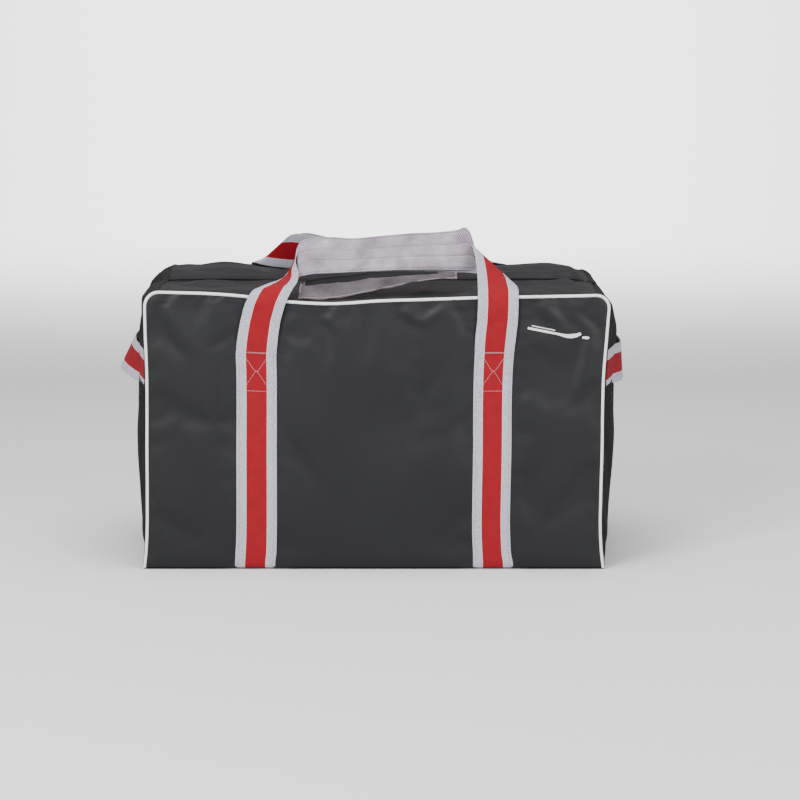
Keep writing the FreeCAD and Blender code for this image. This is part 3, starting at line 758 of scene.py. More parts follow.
for side, face in ((-1, "front"), (1, "back")):
    whole = panels[face + "_top_fabric"]
    for end, word in ((-1, "left"), (1, "right")):
        piece = cut_half(whole, f"{face}_top_{word}_half", end)
        paint(piece, "coated_fabric", "inner_coating")
        solidify(piece, cloth)
        folds_with(piece)
        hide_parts(face + "_top_flap")
    remove(whole)
    reach = sorted((seam_y - 2.5 * MM, welt_inner))[::side]
    neat = top_grid(side, *reach, -flap_end - 1 * MM, flap_end + 1 * MM)
    welt = panel(face + "_top_welt", settle(neat) + (0, 0, 0.6 * MM))
    paint(welt, "coated_fabric", "inner_coating")
    solidify(welt, 1.0 * MM)
    worn(welt, "bag", "shell")

base = base_grid()
base_flat = base.copy()
base_flat[..., 0] = settle(np.stack([base[..., 0], base[..., 1] * 0.98, base[..., 2] + 4 * MM], -1))[..., 0]
dip = 1.2 * MM * (1 - smooth((np.abs(np.abs(base[..., 0]) - strap_x) - web / 2) / 0.03))
base_flat[..., 2] = 1.2 * MM + dip
base_piece = panel("base_fabric", base_flat, flip=True)
paint(base_piece, "coated_fabric", "inner_coating")
solidify(base_piece, 1.2 * MM)
worn(base_piece, "bag", "shell", "base_panel")


# ---- piping
def seam_path(side, inset=0.0, spacing=4 * MM, low=2.0 * MM):
    """The seam round the front or back, from the left foot over the top to the right foot."""
    x, z, r = seam_x - inset, seam_z - inset, corner - inset
    legs = np.linspace(low, z - r, int((z - r) / spacing))
    arc = np.linspace(0, math.pi / 2, 14)[1:-1]
    half = [(x, h) for h in legs] + [(x - r + r * math.cos(t), z - r + r * math.sin(t)) for t in arc]
    top = np.linspace(x - r, -(x - r), int(2 * (x - r) / spacing))
    right_to_left = half + [(h, z) for h in top] + [(-a, b) for a, b in half[::-1]]
    return np.array([(a, side * seam_y, b) for a, b in right_to_left[::-1]])


for side, face in ((-1, "front"), (1, "back")):
    path = settle(seam_path(side))
    piece = tube(face + "_piping_bead", path, bead * 0.98)
    paint(piece, "white_vinyl")
    worn(piece, "bag", "piping", face + "_piping")
    edge = settle(seam_path(side, inset=9 * MM, low=foot_z)) - (0, side * 4.5 * MM, 0)
    outer = settle(seam_path(side, inset=3.5 * MM, low=foot_z)) - (0, side * 4.0 * MM, 0)
    grid = np.stack([outer, edge])
    piece = panel(face + "_seam_tape", grid, flip=side > 0)
    paint(piece, "black_tape", "black_tape")
    solidify(piece, 1.2 * MM, offset=0, levels=0)
    worn(piece, "bag", "binding", face + "_seam_binding")


# ---- webbing sewn to the faces and under the base
def strap_station(x, side, z, shift=0.0):
    """Left and right edge of a sewn strap at a height, seen from outside that face."""
    a, b = (x - web / 2, x + web / 2) if side < 0 else (x + web / 2, x - web / 2)
    y = side * (face_y + 1.3 * MM)
    pair = settle([(a + shift, y, z), (b + shift, y, z)])
    return [*pair[0], *pair[1], 0.3 * MM]


def sewn_run(x, side):
    """Stations from under the base up to the sewn box."""
    a, b = (x - web / 2, x + web / 2) if side < 0 else (x + web / 2, x - web / 2)
    lean = settle([(x, side * face_y, 6 * MM)])[0, 0] - x
    under = [
        [a + lean, side * y, z, b + lean, side * y, z, 0.0]
        for y, z in ((0.190, 0.0010), (0.204, 0.0010), (0.2125, 0.0030), (0.2158, 0.0090))
    ]
    return under + [strap_station(x, side, z) for z in np.linspace(0.024, 0.345, 14)]


# free webbing of the front handle, left and right, from the sewn box to the slanting fold: millimetres
FRONT_LEFT = (
    (-222, -218.2, 372, -158, -218.2, 372, 0), (-217, -219, 400, -154, -219, 400, 1),
    (-209, -219.5, 428, -144, -219.5, 432, 2), (-199, -214, 446, -134, -211.5, 451, 1),
    (-186, -196, 452, -128, -188, 459, -1), (-172, -178, 456, -127, -162, 471, -4),
    (-163, -164, 457, -132, -139, 487, -7), (-157, -155, 458, -131, -126, 502, -8),
    (-149, -147, 460, -127, -114, 513, -4.5), (-138, -140, 462, -118, -104, 519, -1),
    (-124, -136, 464.5, -105, -99, 520.5, 0),
)
FRONT_RIGHT = (
    (154, -218.2, 372, 218, -218.2, 372, 0), (157, -219, 400, 221, -219, 400, 0.5),
    (158, -219.5, 428, 222, -219.5, 428, 1), (158, -213.5, 449.5, 222, -214, 446.5, 2),
    (158, -192, 463, 221, -198, 451, 2), (157, -168, 482, 219.5, -184, 453, 2),
    (154, -146, 500, 217.5, -172, 454, 1), (150.5, -131.5, 512, 215, -162.5, 454, 0),
)
FRONT_RIGHT_BACK = (
    (150.0, -128.2, 512.5, 214.5, -159.0, 454.8, 0), (143, -125, 521, 198, -148, 459, 0),
    (130, -120, 526.5, 160, -130, 466, 0), (105, -115.5, 529, 118, -123, 468.3, 0),
    (70, -106, 528, 76, -122, 469.5, 0), (0, -97, 521.5, 0, -126, 469.3, 0),
    (-60, -96.5, 518.5, -63, -132, 468.5, 0), (-90, -98, 520.5, -98, -134.5, 467.2, 1),
)
# free webbing of the back handle, as outer edge, inner edge and bow; the left side as if it were the right
BACK_LEFT = (
    (222, 218.2, 372, 158, 218.2, 372, 0), (222, 219, 400, 158, 219, 400, 0.5),
    (222, 219.8, 428, 158, 219.8, 430, 1), (221, 214, 446, 158, 214, 448.5, 1),
    (219, 195, 452.5, 157.5, 189, 459, 0), (216, 176, 455, 156.5, 161, 472, 0),
    (211, 158, 456, 155, 131, 487, 0), (205, 143, 456, 152, 107, 504, 0),
)
BACK_LEFT_BEHIND = (
    (204.5, 140, 456, 151.5, 104, 506, 0), (188, 133, 453, 143, 101, 510, 0),
    (155, 129.5, 450, 126, 98, 509.5, 0), (110, 128, 450.5, 98, 94, 505, 0),
    (60, 127.5, 451.5, 58, 90.5, 500.5, 0), (0, 127.3, 452, 0, 89.5, 499.5, 0),
)
BACK_RIGHT = (
    (222, 218.2, 372, 158, 218.2, 372, 0), (222, 219, 400, 158, 219, 400, 0.5),
    (221, 219.8, 428, 157, 219.8, 428, 1), (219, 214, 445.5, 155, 214, 446.5, 1),
    (215, 197, 449.5, 151, 195, 451, 0), (208, 179, 452.3, 144, 173, 457, 0),
    (199, 160, 455.5, 138, 143, 471, 0), (189, 142.5, 457.5, 132, 107, 496, 0),
)
BACK_RIGHT_BEHIND = (
    (188.5, 139.5, 457.5, 131.5, 104, 498, 0), (172, 133, 456.5, 124, 101, 501, 0),
    (140, 129.5, 454.5, 108, 97, 502.5, 0), (100, 128.2, 453, 84, 93, 502.5, 0),
    (50, 127.5, 452, 45, 90.5, 501.5, 0),
)


def scaled(rows):
    return [[value * MM for value in row] for row in rows]


def swap(rows):
    """Rows with left and right edges exchanged."""
    return [[*row[3:6], *row[:3], row[6]] for row in rows]


def mirrored(rows):
    """Rows of the right-hand side made the left-hand side's."""
    return [[-row[3], *row[4:6], -row[0], *row[1:3], row[6]] for row in rows]


def returned(rows):
    """Rows run the other way, for webbing that comes back down."""
    return [[*row[3:6], *row[:3], -row[6]] for row in rows[::-1]]


def split_rows(rows):
    """Rows of the strap's piece and of the grip's, which meet at the second row of the free webbing."""
    return rows[:2], rows[1:]


front_left_low, front_left_high = split_rows(scaled(FRONT_LEFT))
front_right_low, front_right_high = split_rows(scaled(FRONT_RIGHT))
back_right_low, back_right_high = split_rows(scaled(BACK_RIGHT))
back_left_low, back_left_high = split_rows(mirrored(scaled(BACK_LEFT)))

for face, side, name, x, free in (
    ("front", -1, "left", left_x, front_left_low), ("front", -1, "right", strap_x, front_right_low),
    ("back", 1, "left", left_x, back_left_low), ("back", 1, "right", strap_x, back_right_low),
):
    piece = ribbon(f"{face}_{name}_webbing", sewn_run(x, side) + list(free))
    paint(piece, "striped_webbing")
    y = side * leg_y
    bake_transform(piece)
    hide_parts(f"{face}_{name}_strap", f"{face}_{name}_leg")

for name, x in (("left", left_x), ("right", strap_x)):
    lean = settle([(x, -face_y, 6 * MM)])[0, 0] - x
    rows = [[x - web / 2 + lean, y, 1.0 * MM, x + web / 2 + lean, y, 1.0 * MM, 0.0]
            for y in np.linspace(-0.190, 0.190, 12)]
    piece = ribbon(f"base_{name}_webbing", swap(rows))
    paint(piece, "striped_webbing")
    worn(piece, "bag", "webbing", f"base_{name}_strap")


front_rows = front_left_high + swap(scaled(FRONT_RIGHT_BACK)[::-1]) + returned(front_right_high)
piece = ribbon("front_grip_webbing", front_rows, spacing=4 * MM)
paint(piece, "striped_webbing")
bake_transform(piece)
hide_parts("front_grip_left_leg", "front_grip_right_leg", "front_handle_span")

back_rows = back_right_high + scaled(BACK_RIGHT_BEHIND)
back_rows += swap(mirrored(scaled(BACK_LEFT_BEHIND)))[::-1] + returned(back_left_high)
piece = ribbon("back_grip_webbing", back_rows, spacing=4 * MM)
paint(piece, "striped_webbing")
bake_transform(piece)
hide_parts("back_grip_left_leg", "back_grip_right_leg", "back_handle_span")

# ---- quilted linings of the two grips
QUILT = (0.045, 0.345, 0.635, 0.955)               # stitch rows across a lining


def quilted(u, s):
    """Fullness of a lining: thin at its edges and along its stitch rows."""
    full = np.clip(1 - np.abs(2 * u - 1) ** 10, 0.08, 1) ** 0.5
    for row in QUILT:
        full = full * (1 - 0.5 * np.exp(-((u - row) * web / (1.9 * MM)) ** 2))
    return full * (0.25 + 0.75 * smooth(s / (6 * MM)) ** 0.5)


FRONT_LINING = (
    (-130, -123, 502, -130, -144, 460.5, 0), (-127.5, -117, 510, -127.5, -144, 462, 1),
    (-120, -110, 517.5, -120, -143, 464, 1), (-106, -103, 521, -107, -140.5, 466.2, 1),
    (-80, -102.5, 522.5, -81, -138.5, 467.6, 0.5), (-40, -101.5, 520.5, -41, -134.5, 469, 0),
    (0, -102.5, 524, 0, -131, 471, -0.5), (50, -108, 529, 50, -128.5, 472, 0),
    (100, -119, 532.5, 102, -127.5, 472, 0.5), (128, -123.5, 536.5, 133, -128, 471.5, 0.5),
    (140.5, -124.5, 539.5, 151, -128.5, 471.2, 0.5), (147.5, -125.5, 532, 159.5, -129.3, 471.3, 0),
    (151, -126.8, 523, 163.5, -130.5, 472, 0),
)
BACK_LINING = (
    (-142, 131.5, 455.5, -141, 105.5, 507, 0), (-134, 132, 454.2, -134, 102.5, 510, 0.5),
    (-80, 131.4, 453.6, -80, 96, 504, 0), (0, 130.7, 454.4, 0, 93, 502, 0.5),
    (60, 130.9, 454.6, 60, 94.5, 503.5, 0), (112, 132, 456, 100, 99.5, 504, 0.5),
    (124, 132.8, 457.6, 108, 102, 502, 0),
)
for face, rows in (("front", FRONT_LINING), ("back", BACK_LINING)):
    name = face + "_grip_lining"
    piece = ribbon(name, scaled(rows), spacing=3 * MM, thick=4.6 * MM, across=44, shape=quilted)
    paint(piece, "twill")
    worn(piece, face + "_grip", "lining", face + "_grip_pad", face + "_grip_cover")

# ---- the flap that wraps round the front grip, lying slack on the top
FLAP = (
    (-125, -136, 449, -126, -197, 430, 4), (-116, -132, 451, -117, -196, 430, 3),
    (-85, -130, 456, -88, -193, 431, 3), (-53, -129, 459.5, -54, -187, 434, 2),
    (-20, -128.5, 463, -16, -180, 441, 2), (20, -129.5, 465.5, 24, -177, 449, 1.5),
    (60, -130.5, 467, 62, -177, 457, 1), (95, -131, 467.5, 95, -178, 461.5, 0.5),
    (126, -131, 467.5, 126, -178, 462.5, 0.5),
)


def above_top(rows, clear=3 * MM):
    """Lifts any station edge that would lie in the top of the bag."""
    lifted = []
    for row in rows:
        row = list(row)
        for k in (0, 3):
            hit = top_tree.ray_cast(Vector((row[k], row[k + 1], 0.6)), Vector((0, 0, -1)))[0]
            if hit is not None:
                row[k + 2] = max(row[k + 2], hit.z + clear)
        lifted.append(row)
    return lifted


def ragged(u, s):
    """The flap's thickness, a little uneven near its ends."""
    return np.clip(1 - np.abs(2 * u - 1) ** 20, 0.1, 1) ** 0.5 * (0.7 + 0.3 * smooth(s / (5 * MM)))


flap_rows = above_top(scaled(FLAP))
piece = ribbon("wrap_flap_fabric", flap_rows, spacing=3 * MM, thick=1.5 * MM, across=26, shape=ragged)
points = np.array([v.co for v in piece.data.vertices])
wave = ripple(points[:, 0], points[:, 1], 0.035, 12) * 0.9 * MM
points[:, 2] += wave + 0.9 * MM
piece.data.vertices.foreach_set("co", points.astype(np.float32).ravel())
piece.data.update()
paint(piece, "wrap_weave")
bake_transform(piece)
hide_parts("wrap_flap")


def strip_of(rows, a, b, drop=0.0):
    """Stations for a narrower strip between two places across some wider stations."""
    out = []
    for row in rows:
        left, right = np.array(row[:3]), np.array(row[3:6])
        p, q = left + (right - left) * a, left + (right - left) * b
        bow = row[6] * 4 * (a + b) / 2 * (1 - (a + b) / 2)
        out.append([p[0], p[1], p[2] + bow + drop, q[0], q[1], q[2] + bow + drop, 0.0])
    return out


strip = strip_of(flap_rows, 0.03, 0.33, drop=2.6 * MM)[1:-1]
piece = ribbon("wrap_hook_strip", strip, spacing=4 * MM, thick=1.2 * MM, across=8)
paint(piece, "hook_fuzz")
worn(piece, "grip_wrap", "hook_tape", "wrap_hook_tape")


# ---- handles on the two ends
def end_surface(side, y, z, out=1.4 * MM):
    place = settle([(side * end_x, y, z)])[0]
    return [place[0] + side * out, y, z]


def end_rows(side, low, high, mid_low, mid_high, near):
    """Stations from the seam to the middle of an end handle, for one half of it."""
    rows = []
    for y in (0.2068, 0.195, 0.175, 0.15, 0.128):
        rows.append([*end_surface(side, near * y, low), *end_surface(side, near * y, high), 0.0])
    out_low, out_high = np.array(mid_low), np.array(mid_high)
    for y, share in ((0.108, 0.16), (0.085, 0.44), (0.058, 0.74), (0.03, 0.94), (0.0, 1.0)):
        a = np.array(end_surface(side, near * y, low, 2.5 * MM))
        b = np.array(end_surface(side, near * y, high, 2.5 * MM))
        a, b = a + (out_low - a) * share, b + (out_high - b) * share
        rows.append([a[0], near * y, a[2], b[0], near * y, b[2], 0.0])
    return rows


for side, word, low, high, mid_low, mid_high in (
    (-1, "left", 0.290, 0.353, (-0.4265, 0, 0.3010), (-0.3990, 0, 0.3565)),
    (1, "right", 0.288, 0.352, (0.4020, 0, 0.2830), (0.3980, 0, 0.3460)),
):
    for near, part in ((-1, "near"), (1, "far")):
        rows = end_rows(side, low, high, mid_low, mid_high, near)
        if near * side < 0:
            rows = swap(rows)
        piece = ribbon(f"{word}_end_handle_{part}_half", swap(rows), spacing=4 * MM)
        paint(piece, "striped_webbing")
        body = word + "_end_handle"
        x, z = side * 0.39, 0.33
        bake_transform(piece)
        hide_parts(body + "_loop", body + "_anchors")


# ---- the zip
def zip_line(y, x0, x1, drop, spacing=5 * MM):
    x = np.linspace(x0, x1, max(2, int(abs(x1 - x0) / spacing)))
    return settle(np.stack([x, np.full_like(x, y), np.full_like(x, top_z)], -1)) - (0, 0, drop)


zip_start, zip_stop = coil_low.x, coil_high.x
for side, face in ((-1, "front"), (1, "back")):
    for end, word in ((-1, "left"), (1, "right")):
        far = zip_stop if end > 0 else zip_start
        outer = zip_line(side * 22 * MM, *sorted((0.0, far)), 2.4 * MM)
        inner = zip_line(side * 4.4 * MM, *sorted((0.0, far)), 2.2 * MM)
        pair = (outer, inner) if side < 0 else (inner, outer)
        grid = np.linspace(pair[0], pair[1], 6)
        piece = panel(f"{face}_zip_tape_{word}_half", grid)
        paint(piece, "zip_tape_weave", "zip_tape_weave")
        solidify(piece, 0.9 * MM, levels=0)
        folds_with(piece)
        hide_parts(face + "_zip_tape")


# ---- sewing and the zip's coil, set out along lines
def instance_tree():
    """Copies one small piece along every line of a mesh, pointing the way the line runs."""
    tree = bpy.data.node_groups.new("set_out_along_lines", "GeometryNodeTree")
    tree.interface.new_socket("Geometry", in_out="INPUT", socket_type="NodeSocketGeometry")
    spacing = tree.interface.new_socket("Spacing", in_out="INPUT", socket_type="NodeSocketFloat")
    spacing.default_value, spacing.min_value = 0.004, 0.0005
    tree.interface.new_socket("Piece", in_out="INPUT", socket_type="NodeSocketObject")
    tree.interface.new_socket("Material", in_out="INPUT", socket_type="NodeSocketMaterial")
    tree.interface.new_socket("Geometry", in_out="OUTPUT", socket_type="NodeSocketGeometry")
    node, link = tree.nodes.new, tree.links.new
    entry, leave = node("NodeGroupInput"), node("NodeGroupOutput")
    curve, points = node("GeometryNodeMeshToCurve"), node("GeometryNodeCurveToPoints")
    points.mode = "LENGTH"
    align, info = node("FunctionNodeAlignRotationToVector"), node("GeometryNodeObjectInfo")
    align.axis = "X"
    copies, real = node("GeometryNodeInstanceOnPoints"), node("GeometryNodeRealizeInstances")
    finish = node("GeometryNodeSetMaterial")
    link(entry.outputs["Geometry"], curve.inputs["Mesh"])
    link(curve.outputs["Curve"], points.inputs["Curve"])
    link(entry.outputs["Spacing"], points.inputs["Length"])
    link(points.outputs["Tangent"], align.inputs["Vector"])
    link(points.outputs["Points"], copies.inputs["Points"])
    link(entry.outputs["Piece"], info.inputs["Object"])
    link(info.outputs["Geometry"], copies.inputs["Instance"])
    link(align.outputs["Rotation"], copies.inputs["Rotation"])
    link(copies.outputs["Instances"], real.inputs["Geometry"])
    link(real.outputs["Geometry"], finish.inputs["Geometry"])
    link(entry.outputs["Material"], finish.inputs["Material"])
    link(finish.outputs["Geometry"], leave.inputs["Geometry"])
    return tree


set_out = instance_tree()


def set_out_along(name, lines, spacing, grain, material):
    """A piece made of copies of grain along some lines, as plain mesh."""
    points, edges = [], []
    for line in lines:
        first = len(points)
        points += [tuple(p) for p in line]
        edges += [(first + k, first + k + 1) for k in range(len(line) - 1)]
    mesh = bpy.data.meshes.new(name)
    mesh.from_pydata(points, edges, [])
    guide = bpy.data.objects.new(name + "_guide", mesh)
    bpy.context.scene.collection.objects.link(guide)
    modifier = guide.modifiers.new("set out", "NODES")
    modifier.node_group = set_out
    given = {"Spacing": spacing, "Piece": grain, "Material": paints[material]}
    for item in set_out.interface.items_tree:
        if item.in_out == "INPUT" and item.name != "Geometry":
            modifier[item.identifier] = given[item.name]
    graph = bpy.context.evaluated_depsgraph_get()
    made = bpy.data.meshes.new_from_object(guide.evaluated_get(graph), depsgraph=graph)
    made.name = name
    made.polygons.foreach_set("use_smooth", [True] * len(made.polygons))
    remove(guide)
    piece = bpy.data.objects.new(name, made)
    bpy.context.scene.collection.objects.link(piece)
    paint(piece, material)
    return piece


def capsule(name, length, radius, sides=6):
    """One stitch, lying along X."""
    stations = ((-0.5, 0.0), (-0.42, 0.75), (-0.2, 1.0), (0.2, 1.0), (0.42, 0.75), (0.5, 0.0))
    points = []
    for x, r in stations[1:-1]:
        for j in range(sides):
            turn = j * 2 * math.pi / sides
            points.append((x * length, r * radius * math.cos(turn), r * radius * math.sin(turn)))
    rings = len(stations) - 2
    faces = ring_faces(rings, sides)
    points += [(-0.5 * length, 0, 0), (0.5 * length, 0, 0)]
    last = (rings - 1) * sides
    for j in range(sides):
        k = (j + 1) % sides
        faces.append((len(points) - 2, k, j))
        faces.append((len(points) - 1, last + j, last + k))
    return mesh_object(name, points, faces)


def loop(name, wide, tall, wire, around=12, sides=6):
    """One turn of the zip's coil, an oval of wire across the line, leaning a little."""
    points = []
    for i in range(around):
        turn = i * 2 * math.pi / around
        lean = 0.35 * MM * math.cos(turn)
        centre = Vector((lean, wide * math.cos(turn), tall * math.sin(turn)))
        out = Vector((0, math.cos(turn) * tall, math.sin(turn) * wide)).normalized()
        for j in range(sides):
            a = j * 2 * math.pi / sides
            points.append(tuple(centre + out * wire * math.cos(a) + Vector((wire * math.sin(a), 0, 0))))
    return mesh_object(name, points, ring_faces(around, sides, closed=True, flip=True))


fine_stitch = capsule("fine_stitch", 3.0 * MM, 0.32 * MM)
bold_stitch = capsule("bold_stitch", 2.9 * MM, 0.31 * MM)
coil_turn = loop("coil_turn", 2.3 * MM, 1.25 * MM, 0.42 * MM)

for side, face in ((-1, "front"), (1, "back")):
    for end, word in ((-1, "left"), (1, "right")):
        far = zip_stop if end > 0 else zip_start
        start = 0.6 * MM * end + (0.55 * MM if side > 0 else 0)
        line = zip_line(side * 2.1 * MM, *sorted((start, far)), 0.9 * MM)
        piece = set_out_along(f"{face}_coil_{word}_half", [line], 2.0 * MM, coil_turn, "coil_nylon")
        folds_with(piece)
        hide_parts(face + "_zip_coil")
        hems = [zip_line(side * y, *sorted((0.001 * end, end * (flap_end - 2 * MM))), -0.15 * MM)
                for y in (9 * MM, 13.5 * MM)]
        piece = set_out_along(f"{face}_hem_stitches_{word}_half", hems, 4.2 * MM, fine_stitch, "dark_thread")
        folds_with(piece)
    x = np.linspace(-flap_end, flap_end, 160)
    neat = np.stack([x, np.full_like(x, side * (seam_y - 8 * MM)), np.full_like(x, top_z)], -1)
    line = settle(neat) + (0, 0, 0.8 * MM)
    piece = set_out_along(face + "_welt_stitches", [line], 4.2 * MM, fine_stitch, "dark_thread")
    worn(piece, "bag", "thread")

for end, word in ((-1, "left"), (1, "right")):
    rows = []
    for y in (-20, -19, -12, -5, 0, 5, 12, 19, 20):
        lift = {20: 0.5, 19: 0.9, 12: 1.1, 5: 1.5, 0: 1.6}[abs(y)] * MM
        a, b = settle([(end * 0.3452, y * MM, top_z), (end * 0.3572, y * MM, top_z)])
        rows.append([a[0], a[1], a[2] + lift, b[0], b[1], b[2] + lift, 0.0])
    rows = rows if end > 0 else swap(rows)
    piece = ribbon(f"{word}_zip_end_cover", rows, spacing=2 * MM, thick=1.5 * MM, across=8)
    paint(piece, "black_tape")
    worn(piece, "bag", "binding", word + "_zip_end_tab")

# ---- sewing on the webbing
dark, white = [], []
for name in ("front_left_webbing", "front_right_webbing", "back_left_webbing", "back_right_webbing"):
    top = row_at(name, box_top)
    for u in (0.07, 0.93):
        dark.append(on_web(name, (u, 5), (u, top), lift=0.2 * MM))
        dark.append(on_web(name, (u, 5), (u, 0), lift=0.2 * MM))
    low, cross_start, cross_end = (row_at(name, z) for z in (box_low, cross_low, cross_high))
    for shift in (0.0, 0.25):
        white.append(on_web(name, (0.06, top + shift), (0.94, top + shift), lift=0.25 * MM))
    white.append(on_web(name, (0.06, low), (0.94, low), lift=0.25 * MM))
    for u in (0.24, 0.76):
        white.append(on_web(name, (u, low), (u, top), lift=0.25 * MM))
    white.append(on_web(name, (0.26, cross_start), (0.74, cross_end), lift=0.25 * MM))
    white.append(on_web(name, (0.74, cross_start), (0.26, cross_end), lift=0.35 * MM))
for name in ("base_left_webbing", "base_right_webbing"):
    last = len(webs[name][0]) - 1
    for u in (0.07, 0.93):
        dark.append(on_web(name, (u, 0), (u, last), lift=0.1 * MM))
piece = set_out_along("strap_edge_stitches", dark, 4.4 * MM, fine_stitch, "grey_thread")
worn(piece, "bag", "thread")
piece = set_out_along("strap_box_stitches", white, 3.9 * MM, bold_stitch, "pale_thread")
worn(piece, "bag", "thread", "front_box_stitching", "back_box_stitching")

for face in ("front", "back"):
    name = face + "_grip_lining"
    last = len(webs[name][0]) - 2
    lines = [on_web(name, (u, 1.5), (u, last - 0.5), lift=0.1 * MM) for u in QUILT]
    piece = set_out_along(face + "_lining_stitches", lines, 3.6 * MM, fine_stitch, "mauve_thread")
    worn(piece, face + "_grip", "thread")

name = "wrap_flap_fabric"
last = len(webs[name][0]) - 1
lines = [on_web(name, (0.02, row), (0.98, row), lift=1.1 * MM) for row in (0.3, 0.9, last - 0.9, last - 0.3)]
lines.append(on_web(name, (0.96, 1), (0.96, last - 1), lift=1.0 * MM))
piece = set_out_along("wrap_flap_stitches", lines, 3.2 * MM, bold_stitch, "pale_thread")
worn(piece, "grip_wrap", "thread")

for side, word in ((-1, "left"), (1, "right")):
    lines = []
    for part in ("near", "far"):
        name = f"{word}_end_handle_{part}_half"
        for row in (2, 18):
            lines.append(on_web(name, (0.08, row), (0.92, row), lift=0.25 * MM))
        for u in (0.08, 0.92):
            lines.append(on_web(name, (u, 2), (u, 18), lift=0.25 * MM))
        lines.append(on_web(name, (0.12, 3), (0.88, 17), lift=0.25 * MM))
        lines.append(on_web(name, (0.88, 3), (0.12, 17), lift=0.35 * MM))
    piece = set_out_along(word + "_end_handle_stitches", lines, 3.9 * MM, bold_stitch, "pale_thread")
    worn(piece, "bag", "thread")

for grain in (fine_stitch, bold_stitch, coil_turn):
    remove(grain)


# ---- vent eyelets and the printed mark, laid on the finished fabric
def finished_tree(piece):
    graph = bpy.context.evaluated_depsgraph_get()
    return BVHTree.FromObject(piece, graph)


ring_reach = 7.5                                   # radius of an eyelet, in millimetres


def eyelet(places, name):
    """Turned metal rings as one piece; places are (centre, outward normal)."""
    profile = (
        (3.9, -1.4), (3.9, 0.6), (4.5, 1.25), (5.6, 1.35),
        (6.9, 0.9), (ring_reach, 0.1), (7.3, -0.5), (4.2, -0.6),
    )
    points, faces, around = [], [], 28
    for centre, normal in places:
        side = normal.cross(Vector((0, 0, 1))).normalized()
        up = side.cross(normal)
        first = len(points)
        for i in range(around):
            turn = i * 2 * math.pi / around
            ray = side * math.cos(turn) + up * math.sin(turn)
            points += [tuple(centre + ray * r * MM + normal * h * MM) for r, h in profile]
        faces += ring_faces(around, len(profile), first, closed=True, flip=True)
    return mesh_object(name, points, faces)


for side, word in ((-1, "left"), (1, "right")):
    tree = finished_tree(panels[word + "_end_fabric"])
    places = []
    ring_low, ring_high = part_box(word + "_vent_eyelets")
    reach, height = ring_high.y - ring_reach * MM, (ring_low.z + ring_high.z) / 2
    for y in (-reach, reach):
        hit, normal, _, _ = tree.ray_cast(Vector((side * 0.5, y, height)), Vector((-side, 0, 0)))
        normal = normal if normal.x * side > 0 else -normal
        places.append((hit, normal.normalized()))
    piece = eyelet(places, word + "_eyelet_rings")
    paint(piece, "black_metal")
    worn(piece, "bag", "metal", word + "_vent_eyelets")
    holes, faces = [], []
    for hit, normal in places:
        side_way = normal.cross(Vector((0, 0, 1))).normalized()
        up = side_way.cross(normal)
        first = len(holes)
        for depth in (0.45 * MM, -0.2 * MM):
            holes += [tuple(hit + normal * depth + (side_way * math.cos(t) + up * math.sin(t)) * 3.95 * MM)
                      for t in np.arange(20) * math.pi / 10]
        faces.append(tuple(first + k for k in range(20)))
        faces.append(tuple(first + 39 - k for k in range(20)))
        faces += ring_faces(2, 20, first, flip=True)
    piece = mesh_object(word + "_vent_holes", holes, faces)
    piece.data.polygons.foreach_set("use_smooth", [False] * len(piece.data.polygons))
    paint(piece, "hole_shadow")
    worn(piece, "bag", "coil")

front_tree = finished_tree(panels["front_panel_fabric"])


def printed(name, centre_line, widths):
    """A printed stripe on the front panel: a line of (x, z) and its half width at each place."""
    line, widths = np.array(centre_line) * MM, np.array(widths) * MM
    reach = along(line)
    at = np.linspace(0, reach[-1], int(reach[-1] / (1.5 * MM)))
    x, z, w = (through(reach, values, at) for values in (line[:, 0], line[:, 1], widths))
    run = np.stack([np.gradient(x), np.gradient(z)], -1)
    run /= np.linalg.norm(run, axis=1)[:, None]
    points = []
    for k in range(len(at)):
        for t in (-1, -0.5, 0, 0.5, 1):
            px, pz = x[k] - run[k, 1] * w[k] * t, z[k] + run[k, 0] * w[k] * t
            hit = front_tree.ray_cast(Vector((px, -0.5, pz)), Vector((0, 1, 0)))[0]
            points.append((px, hit.y - 0.3 * MM, pz))
    piece = mesh_object(name, points, grid_faces(len(at), 5, flip=True))
    solidify(piece, 0.25 * MM, levels=0)
    return piece


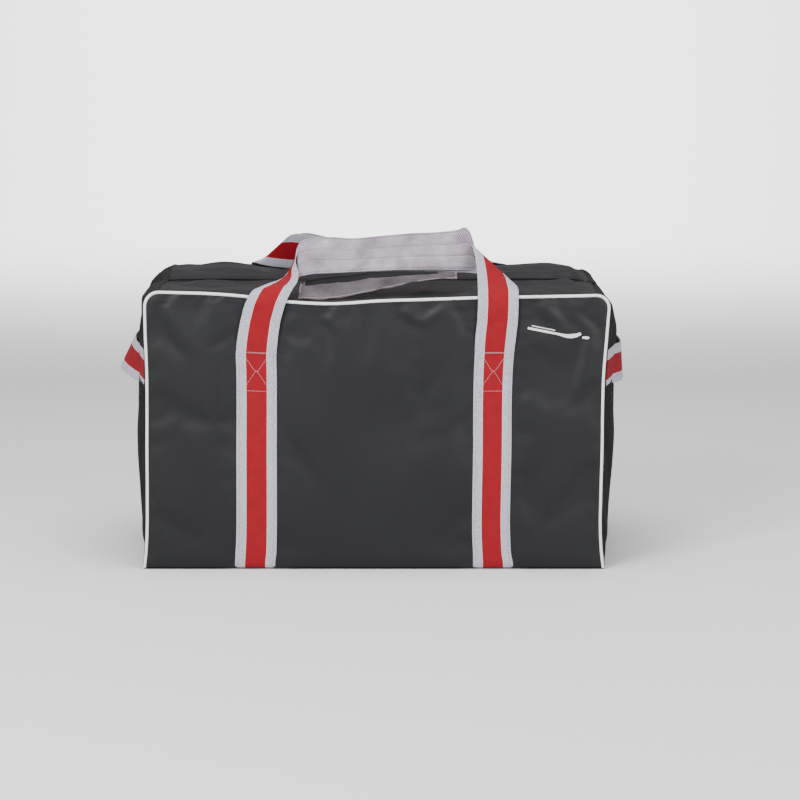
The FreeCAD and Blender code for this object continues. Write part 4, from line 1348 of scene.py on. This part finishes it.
STICK = ((237, 388.5), (262, 383.5), (287, 378.5), (296, 376.3), (303, 375.6), (313, 376.6), (321, 379.5))
marks = (
    printed("printed_stick", STICK, (1.7, 1.8, 1.9, 2.6, 3.2, 3.0, 2.0)),
    printed("printed_puck", ((323, 373.2), (327, 373.0), (331, 372.9), (334, 373.0)), (1.2, 2.0, 2.0, 1.2)),
    printed("printed_shaft_line", ((243, 392.2), (262, 388.4), (280, 384.8)), (0.7, 0.7, 0.7)),
)
for piece in marks:
    paint(piece, "printed_white", "printed_white")
    worn(piece, "bag", "piping", "printed_mark")

# ---- parts kept as they are
sliding = [f"{word}_{piece}" for piece in ("slider", "pull_tab", "pull_pin") for word in ("left", "right")]
for node in sliding + ["front_zip_stops", "back_zip_stops"]:
    paint(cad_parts[node], "black_metal")

# ---- camera, light and floor
camera = bpy.data.objects.new("camera", bpy.data.cameras.new("camera"))
bpy.context.scene.collection.objects.link(camera)
camera.location = (0.035, -4.843, 0.94)
aim = Vector((0.035, -0.215, 0.2735)) - camera.location
camera.rotation_euler = aim.to_track_quat("-Z", "Y").to_euler()
camera.data.lens = 132.7
camera.data.sensor_width = 36.0
bpy.context.scene.camera = camera


def area_light(name, place, target, size, power):
    light = bpy.data.lights.new(name, "AREA")
    light.shape, light.size, light.energy = "DISK", size, power
    lamp = bpy.data.objects.new(name, light)
    bpy.context.scene.collection.objects.link(lamp)
    lamp.location = place
    lamp.rotation_euler = (Vector(target) - Vector(place)).to_track_quat("-Z", "Y").to_euler()


area_light("key", (-1.8, -3.0, 2.2), (0, 0, 0.25), 1.8, 130)
area_light("fill", (2.2, -3.0, 1.4), (0, 0, 0.25), 2.0, 70)
area_light("top", (0.0, -0.4, 3.0), (0, 0, 0.3), 2.4, 70)
area_light("behind", (0.0, 5.0, 4.0), (0, 9.0, 1.0), 3.0, 700)

world = bpy.data.worlds.new("studio")
bpy.context.scene.world = world
world.use_nodes = True
world.node_tree.nodes["Background"].inputs["Color"].default_value = (1, 1, 1, 1)
world.node_tree.nodes["Background"].inputs["Strength"].default_value = 0.30

sweep = [(y, 0.0) for y in (-9.0, 0.0, 6.0)]
sweep += [(6.0 + 3.0 * math.sin(t), 3.0 - 3.0 * math.cos(t)) for t in np.linspace(0.1, math.pi / 2, 12)]
sweep += [(9.0, 12.0)]
corners = [(x, y, z) for y, z in sweep for x in (-12, 12)]
floor = mesh_object("floor", corners, grid_faces(len(sweep), 2, flip=True))
paint(floor, "pale_floor")
floor.visible_glossy = False
floor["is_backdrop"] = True

low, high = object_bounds()
